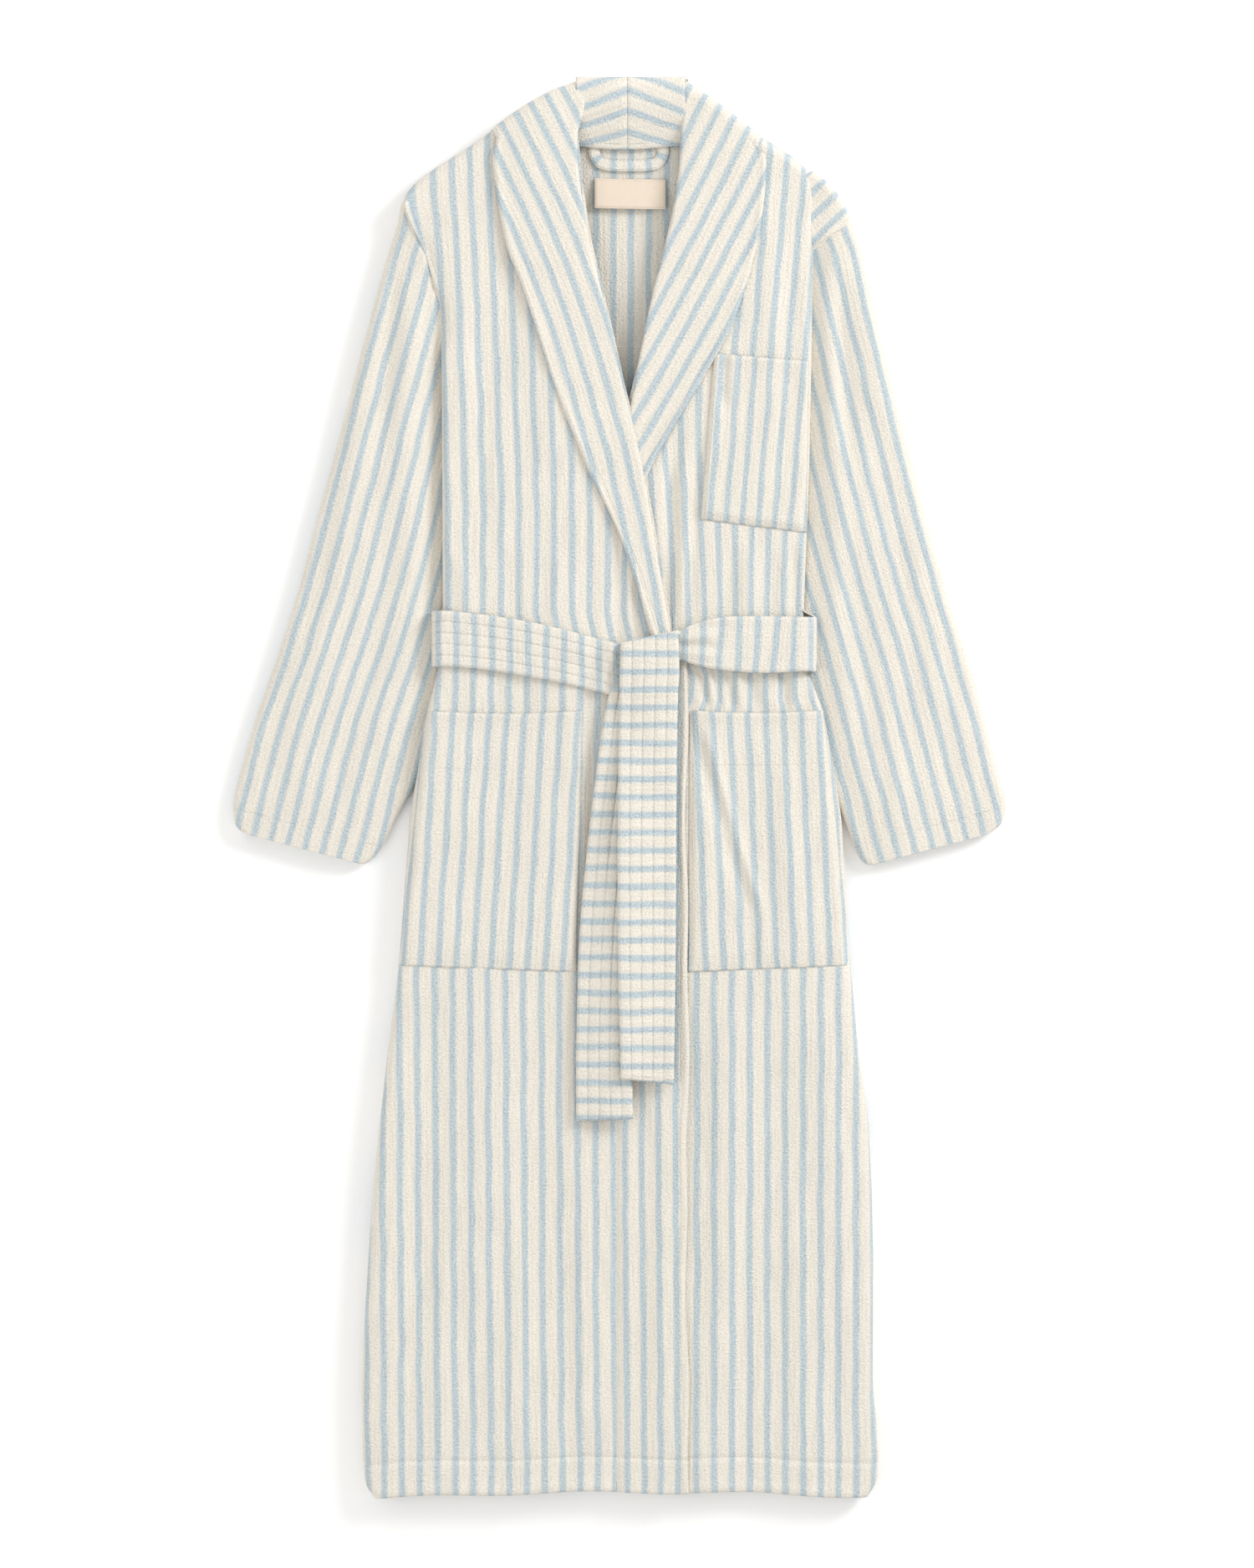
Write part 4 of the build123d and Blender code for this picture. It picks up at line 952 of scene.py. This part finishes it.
right_belt, right_belt_area = belt_run(
    "right_belt_run_cloth",
    [(4, 509.5), (-4, 508.6), (-24, 504), (-50, 497), (-80, 490), (-115, 484), (-145, 480.5), (-161, 479)],
    [(6, 560), (-4, 557.4), (-24, 552), (-50, 545.5), (-80, 539.5), (-115, 533.5), (-145, 530), (-161, 529)],
    -1, BELT_TOP + 0.9, 4.0,
    [(-8, 505, -26, 560, 2.4, 7), (-20, 503, -40, 552, -2.2, 7), (-38, 505, -60, 545, 1.2, 9),
     (-5, 520, -60, 512, 1.5, 9), (-150, 478, -168, 484, 2.2, 6)], 16.3, 173.5, 0.65)
left_belt, left_belt_area = belt_run(
    "left_belt_run_cloth",
    [(38, 500), (48.5, 497), (62, 491), (84.5, 485.2), (110, 484), (140, 484.2), (158, 484.6)],
    [(40, 522), (48.5, 523.5), (62, 527.5), (78, 531.2), (104, 534), (130, 535), (158, 533.4)],
    1, BELT_TOP + 0.7, 2.0,
    [(44, 506, 78, 500, 2.0, 5), (44, 516, 84, 520, 1.8, 5), (44, 511, 80, 510, -2.6, 4),
     (60, 496, 96, 492, -1.2, 5)], 16.3, 172.0, 0.2)

# %% [markdown]
# The hanging ends are straight strips. The upper one starts behind the knot, rolls over its top
# edge and lies across it; it is cut with a slanted start because the belt was pulled aslant.


# %% Hang the two ends
START_ROW = 60  # at this row, below the knot, the length walked is set to the depth


def strip(left_line, right_line, heights, over, wide, rows=150, cols=61):
    """Grid of a hanging strip between two side lines, top first. Its height comes from a table of
    depths; above its top edge it goes back under in a half circle of radius over."""
    t = np.linspace(0, 1, rows)
    a, b = through(left_line, t), through(right_line, t)
    share = np.linspace(0, 1, cols)[None, :]
    x = a[:, :1] + (b - a)[:, :1] * share
    down = a[:, 1:] + (b - a)[:, 1:] * share
    from_top = down - down[0]
    z = np.interp(from_top + down[0].mean(), *zip(*heights))
    turn = np.radians(np.linspace(165, 10, 12))[:, None]
    x = np.vstack([x[:1] + 0 * turn, x])
    z = np.vstack([z[:1] - over * (1 - np.cos(turn)), z])
    low = down[:1] + over
    down = np.vstack([low - over * np.sin(turn), down + over * (1 - ease(0, 60, from_top))])
    steps = np.hypot(np.diff(down, axis=0), np.diff(z, axis=0))
    walked = np.vstack([np.zeros((1, cols)), np.cumsum(steps, axis=0)])
    walked = walked - walked[START_ROW] + down[START_ROW]
    across = share * wide + 0 * x
    end = walked[-1] - walked
    z = z + channels(across, wide, 1.0) - 1.2 * ease(3, 0, end) + 0.5 * ripple(x, down, 41, wave=60)
    stitch = np.minimum(to_seam(across, wide), np.abs(end - 4))
    return x, down, z, walked, across, stitch


UPPER_HEIGHTS = [(500, 39.2), (516, 40.0), (545, 39.6), (572, 37.0), (600, 36.2), (900, 35.4)]
x, down, z, walked, across, stitch = strip(
    [(-4, 508), (-4.5, 530), (-5, 560), (-6, 620), (-6.5, 700), (-6, 800), (-4.5, 860), (-4, 897)],
    [(48, 496.5), (48.8, 530), (47.5, 560), (46.5, 620), (46, 700), (45.5, 800), (44.6, 860), (44, 903)],
    UPPER_HEIGHTS, 6.0, 52.0)
z = z + creases(x, down, [(6, 530, 2, 600, -1.0, 6), (30, 556, 34, 640, 0.9, 9)])
z = z + 8.0 * ease(44, 2, across) * ease(575, 680, down)
upper_tail = cloth_piece("upper_belt_tail_cloth", x, down, z, walked - 533.8, across, stitch, BELT_CLOTH)
upper_tail_area = patch_area(x, down, z)

LOWER_HEIGHTS = [(540, 32.0), (575, 32.4), (620, 31.6), (940, 31.0)]
x, down, z, walked, across, stitch = strip(
    [(-13, 545), (-17.5, 565), (-24, 610), (-32.5, 680), (-38.5, 740), (-41.5, 790), (-43.5, 870),
     (-43.5, 936)],
    [(34, 545), (33, 565), (28, 610), (19, 680), (13, 740), (9.5, 790), (7, 870), (7.3, 933.5)],
    LOWER_HEIGHTS, 4.0, 52.0)
z = z + 5.0 * ease(2, 34, across) * ease(640, 740, down)
lower_tail = cloth_piece("lower_belt_tail_cloth", x, down, z, walked - 565, across, stitch, BELT_CLOTH)
lower_tail_area = patch_area(x, down, z)
print("belt", [round(a, 4) for a in (right_belt_area, left_belt_area, upper_tail_area, lower_tail_area)])

# %% [markdown]
# ## Small pieces
#
# A narrow loop at each side holds the belt. In the neck there is a loop to hang the robe by, a
# strip of the striped terry bent into a U, and below it a smooth woven label. The label is plain.


# %% Belt loops, hanging loop and label
def belt_loop(name, side):
    """A narrow band standing on edge at the side: out from the seam, along past the belt, back."""
    node = "right_belt_loop" if side < 0 else "left_belt_loop"
    low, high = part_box(node)
    reach = 1e3 * (abs(high[0] - low[0]))
    outer = side * (1e3 * (high[0] if side > 0 else low[0]) - CENTRE_X) - 4.0
    top, foot = COLLAR_TOP_Y - 1e3 * high[1] + 6, COLLAR_TOP_Y - 1e3 * low[1] - 3
    depth = np.linspace(top, foot, 60)[None, :]
    bow = np.minimum(ease(top, top + 9, depth), ease(foot, foot - 9, depth))
    z = np.linspace(1e3 * low[2], 1e3 * high[2], 10)[:, None] + 0 * depth
    x = side * (outer - reach + 1 + (reach - 1) * bow + 0.5 * np.sin((z - 8) / 9 * math.pi))
    return cloth_piece(name, x, depth + 0 * z, z, z + 4, depth + 0 * z, thick=1.2)


right_loop = belt_loop("right_belt_loop_cloth", -1)
left_loop = belt_loop("left_belt_loop_cloth", 1)

LOOP_PATH = [(-27.5, 60.5), (-27, 68), (-22, 75.5), (-12, 77.8), (4, 78.2), (20, 77.8), (29, 75.8),
             (34.2, 68), (34.6, 60.5)]
LOOP_HALF = 5.2  # mm, half the width of the hanging loop
t = np.linspace(0, 1, 110)
path = through(LOOP_PATH, t)
along = np.gradient(path, axis=0)
along /= np.hypot(*along.T)[:, None]
across = np.linspace(-LOOP_HALF, LOOP_HALF, 14)[None, :]
x = path[:, :1] - along[:, 1:] * across
down = path[:, 1:] + along[:, :1] * across
z = 10.2 + 0.9 * np.sin(math.pi * t)[:, None] - 0.9 * np.abs(across / LOOP_HALF) ** 4
walked = np.concatenate([[0], np.cumsum(np.hypot(*np.diff(path, axis=0).T))])[:, None]
hanging_loop = cloth_piece("hanging_loop_cloth", x, down, z, walked - 12.4 + 0 * x, across + 0 * x,
                           np.abs(across) - 3.9 + 0 * x, thick=1.6)
hanging_flat = (2 * LOOP_HALF, float(walked[-1, 0]))

label_low, label_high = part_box("neck_label")
label_x = np.array([1e3 * label_low[0], 1e3 * label_high[0]]) - CENTRE_X
label_d = COLLAR_TOP_Y - 1e3 * np.array([label_high[1], label_low[1]]) - 3.0
x = np.linspace(label_x[0] + 0.5, label_x[1] + 1, 60)[None, :]
down = np.linspace(label_d[0], label_d[1], 34)[:, None]
side_edge = np.minimum(x - x.min(), x.max() - x)
edge = np.minimum(side_edge, np.minimum(down - down.min(), down.max() - down))
z = 8.9 + 0.5 * ease(0, 2.5, edge) + 0.25 * np.sin(x / 9) + 0 * down
x, down = x + 0 * z, down + 0 * z + 1.2 * np.sin((x + 30) / 40)
label = cloth_piece("neck_label_cloth", x, down, z, x, -down, edge - 1.6 + 0 * z, thick=0.8)
label_flat = (float(np.ptp(x)), float(np.ptp(down)))

# %% [markdown]
# ## Label cotton
#
# The label is a smooth cotton satin, hemmed all round, paler and warmer than the terry. It needs
# only a fine weave, at 0.6 mm so that it can be seen, and the stitched groove near its edge, with
# painted shade in that groove.


# %% Make the cotton and the belt's terry
WEAVE = 0.0006  # m


def label_cotton(name, tone):
    """Plain weave: the product of two sine waves, one along u and one along v, as a fine bump. The stitched
    groove is a deeper bump with painted shade.
    """
    material, shader = fresh_material(name, roughness=0.72, sheen=0.08)
    math_node = "ShaderNodeMath"
    uv = add(material, "ShaderNodeUVMap", uv_map="cloth")
    split = add(material, "ShaderNodeSeparateXYZ", {0: uv})
    angles = [add(material, math_node, {0: side, 1: 2 * math.pi / WEAVE}, operation="MULTIPLY")
              for side in (split.outputs[0], split.outputs[1])]
    waves = [add(material, math_node, {0: angle}, operation="SINE") for angle in angles]
    weave = add(material, math_node, {0: waves[0], 1: waves[1]}, operation="MULTIPLY")
    cloud = add(material, "ShaderNodeTexNoise", {"Vector": uv, "Scale": 180.0, "Detail": 3.0})
    thread = add(material, "ShaderNodeAttribute", attribute_name="stitch").outputs["Fac"]
    groove = add(material, "ShaderNodeMapRange", {"Value": thread, "From Min": 0.9, "From Max": 0.2})
    shade = add(material, math_node, {0: cloud, 1: 0.08, 2: 0.94}, operation="MULTIPLY_ADD")
    # Painted shade: the colour is up to 10% darker in the stitched groove near the edge.
    shade = add(material, math_node, {0: groove, 1: -0.10, 2: shade}, operation="MULTIPLY_ADD")
    colour = add(material, "ShaderNodeVectorMath", {0: srgb(tone)[:3], 3: shade}, operation="SCALE")
    height = add(material, math_node, {0: groove, 1: -2.0, 2: weave}, operation="MULTIPLY_ADD")
    bump = add(material, "ShaderNodeBump", {"Height": height, "Distance": 0.00015, "Strength": 0.7})
    material.node_tree.links.new(colour.outputs[0], shader.inputs["Base Color"])
    material.node_tree.links.new(bump.outputs[0], shader.inputs["Normal"])
    return material


belt_terry = striped_terry("striped_quilted_terry", CREAM, BLUE)
label_satin = label_cotton("label_cotton_satin", "#F6E6D3")

# %% [markdown]
# ## Tie every piece to the model
#
# Each sheet says which solids it stands for, if any, which finish it takes and which moving body
# it goes with. Sheets that cross a joint are given a second body, a start point and an end point:
# a sleeve outwards from its armhole, a lapel near the neck and a belt end just below the knot.
# These sheets are only baked into the frame and are tied to no body.


# %% Attach the pieces
def at(x, depth, level=20.0):
    """A point of the drawing in the frame, in metres."""
    return ((x + CENTRE_X) / 1e3, (COLLAR_TOP_Y - depth) / 1e3, level / 1e3)


def attach(piece, node, flat, area, body="robe", bend=None, material=None, slot="striped_terry",
           held="laid", on=()):
    """Finish of one piece: the finish is given to it and the solids it stands for are hidden. A piece
    with bend is baked into the frame, the others are tied to their body. flat: width and length in mm of the
    box round the cloth laid flat, walked over its folds; not used. bend: other body, start, end."""
    piece.data.materials.append(material or robe_terry)
    for name in [node] if isinstance(node, str) else node:
        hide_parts(name)
    if bend:
        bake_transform(piece)
    else:
        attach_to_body(piece, body)


FOLD_MIDDLE = np.array([-41.5, 1113.0])  # a point on the line along which the corner turns
FOLD_HALF = 10 * np.array([0.859, 0.511])  # mm, half the strip that bends, across that line
corner_bend = ("front_corner", at(*(FOLD_MIDDLE - FOLD_HALF)), at(*(FOLD_MIDDLE + FOLD_HALF)))
attach(back, "back_panel", (454, 1255), back_area)
attach(left_front, "left_front_panel", (260, 1255), left_front_area, on=[back])
attach(right_front, ["right_front_panel", "right_front_corner"], (292, 1256), right_front_area,
       bend=corner_bend, on=[left_front])
attach(right_band, ["right_front_band", "right_band_corner"], (73, 763), right_band_area,
       bend=corner_bend, on=[right_front])
attach(left_band, "left_front_band", (66, 762), 0.065 * 0.77, on=[back])
attach(right_sleeve, "right_sleeve", (331, 622), right_sleeve_area,
       bend=("right_sleeve", at(-181, 157), at(-245, 181)))
attach(left_sleeve, "left_sleeve", (324, 623), left_sleeve_area,
       bend=("left_sleeve", at(181, 157), at(245, 181)))
attach(left_yoke, [], (101, 70), left_yoke_area, on=[left_sleeve])
attach(right_lapel_high, "right_lapel", (101, 280), right_lapel_area[1],
       bend=("right_lapel", at(-80, 42), at(-76, 150)), on=[right_front])
attach(right_lapel_low, [], (75, 277), right_lapel_area[0], body="right_lapel",
       bend=("robe", at(16, 425), at(38, 490)), on=[right_front])
attach(left_lapel_high, "left_lapel", (94, 158), left_lapel_area[1],
       bend=("left_lapel", at(88, 42), at(84, 140)), on=[left_front])
attach(left_lapel_low, "left_lapel_foot", (90, 229), left_lapel_area[0], body="left_lapel",
       bend=("robe", at(58, 205), at(38, 262)), on=[left_front])
attach(right_back_collar, "right_back_collar", (46.2, 151.3), right_collar_area, held="folded", on=[back])
attach(left_back_collar, "left_back_collar", (52.2, 151.2), left_collar_area, held="folded", on=[back])
attach(right_hip, "right_hip_pocket", (165, 235), right_hip_area, on=[right_front])
attach(left_hip, "left_hip_pocket", (153, 236), left_hip_area, on=[left_front])
attach(chest_pocket, "chest_pocket", (101, 155), chest_area, on=[left_front])
belt_facts = {"material": belt_terry, "slot": "belt_terry"}
attach(right_belt, "belt_waistband", (53, 206), right_belt_area, on=[right_front], **belt_facts)
attach(left_belt, [], (53, 159), left_belt_area, on=[left_front], **belt_facts)
attach(upper_tail, ["upper_belt_tail", "belt_knot"], (57, 418), upper_tail_area,
       bend=("upper_tail", at(20, 556), at(20, 640)), on=[lower_tail], **belt_facts)
attach(lower_tail, "lower_belt_tail", (55.4, 401), lower_tail_area,
       bend=("lower_tail", at(12, 560), at(8, 640)), on=[right_front], **belt_facts)
attach(right_loop, "right_belt_loop", (10, 80), 0.00072, material=belt_terry, held="folded")
attach(left_loop, "left_belt_loop", (10, 80), 0.00072, material=belt_terry, held="folded")
attach(hanging_loop, "hanging_loop", hanging_flat, None, body="hanger", material=belt_terry,
       held="folded", on=[back])
attach(label, "neck_label", label_flat, None, material=label_satin, slot="label_cotton", on=[back])

# %% [markdown]
# ## Floor, light and camera
#
# The robe lies on a white floor. A soft light from the upper right draws its folds; a fainter one
# from the left and a bright surrounding fill the shadows. The camera looks straight down from
# 3.4 m, so that the robe is seen almost without perspective. The colours of cloth this pale are kept true by
# the Standard view transform, which does not press bright tones together.

# %% Set the stage
FLOOR_HALF, FLOOR_LEVEL = 6.0, -0.0005  # m, the floor is just under the cloth
floor_mesh = bpy.data.meshes.new("studio_floor")
floor_corners = [(sx * FLOOR_HALF, sy * FLOOR_HALF, FLOOR_LEVEL)
                 for sx, sy in ((-1, -1), (1, -1), (1, 1), (-1, 1))]
floor_mesh.from_pydata(floor_corners, [], [(0, 1, 2, 3)])
floor = bpy.data.objects.new("studio_floor", floor_mesh)
bpy.context.scene.collection.objects.link(floor)
floor_paint, floor_shader = fresh_material("matt_white_board", roughness=0.9, sheen=0.0)
floor_shader.inputs["Base Color"].default_value = srgb("#FFFFFF")
floor_mesh.materials.append(floor_paint)

world = bpy.data.worlds.new("white_room")
bpy.context.scene.world = world
world.use_nodes = True
world.node_tree.nodes["Background"].inputs["Color"].default_value = srgb("#FFFEFC")
world.node_tree.nodes["Background"].inputs["Strength"].default_value = 0.78


def soft_light(name, place, size, power):
    """A square area light at place, turned so that its -Z axis points at the frame's origin."""
    lamp = bpy.data.lights.new(name, "AREA")
    lamp.shape, lamp.size, lamp.energy = "SQUARE", size, power
    holder = bpy.data.objects.new(name, lamp)
    bpy.context.scene.collection.objects.link(holder)
    x, y, z = place
    holder.location = place
    holder.rotation_euler = (math.atan2(math.hypot(x, y), z), 0.0, math.atan2(y, x) + math.pi / 2)
    return holder


key = soft_light("window_light", (2.5, 1.8, 1.7), 1.2, 70.0)
fill = soft_light("fill_light", (-2.2, -0.6, 2.8), 2.5, 25.0)
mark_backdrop(floor, key, fill)

CAMERA_HEIGHT = 3.4  # m above the cloth
CLOTH_LEVEL = 0.02  # m, about half the height of the robe
VIEW_MIDDLE = (0.00675, 0.00375)  # m
VIEW_SIZE = 1.40625  # m, what the longer side of the picture shows at the cloth
SENSOR = 36.0  # mm
camera_data = bpy.data.cameras.new("camera")
camera = bpy.data.objects.new("camera", camera_data)
bpy.context.scene.collection.objects.link(camera)
camera.location = (*VIEW_MIDDLE, CAMERA_HEIGHT + CLOTH_LEVEL)
camera_data.sensor_width = SENSOR
camera_data.lens = SENSOR * CAMERA_HEIGHT / VIEW_SIZE
bpy.context.scene.camera = camera
bpy.context.scene.view_settings.view_transform = "Standard"
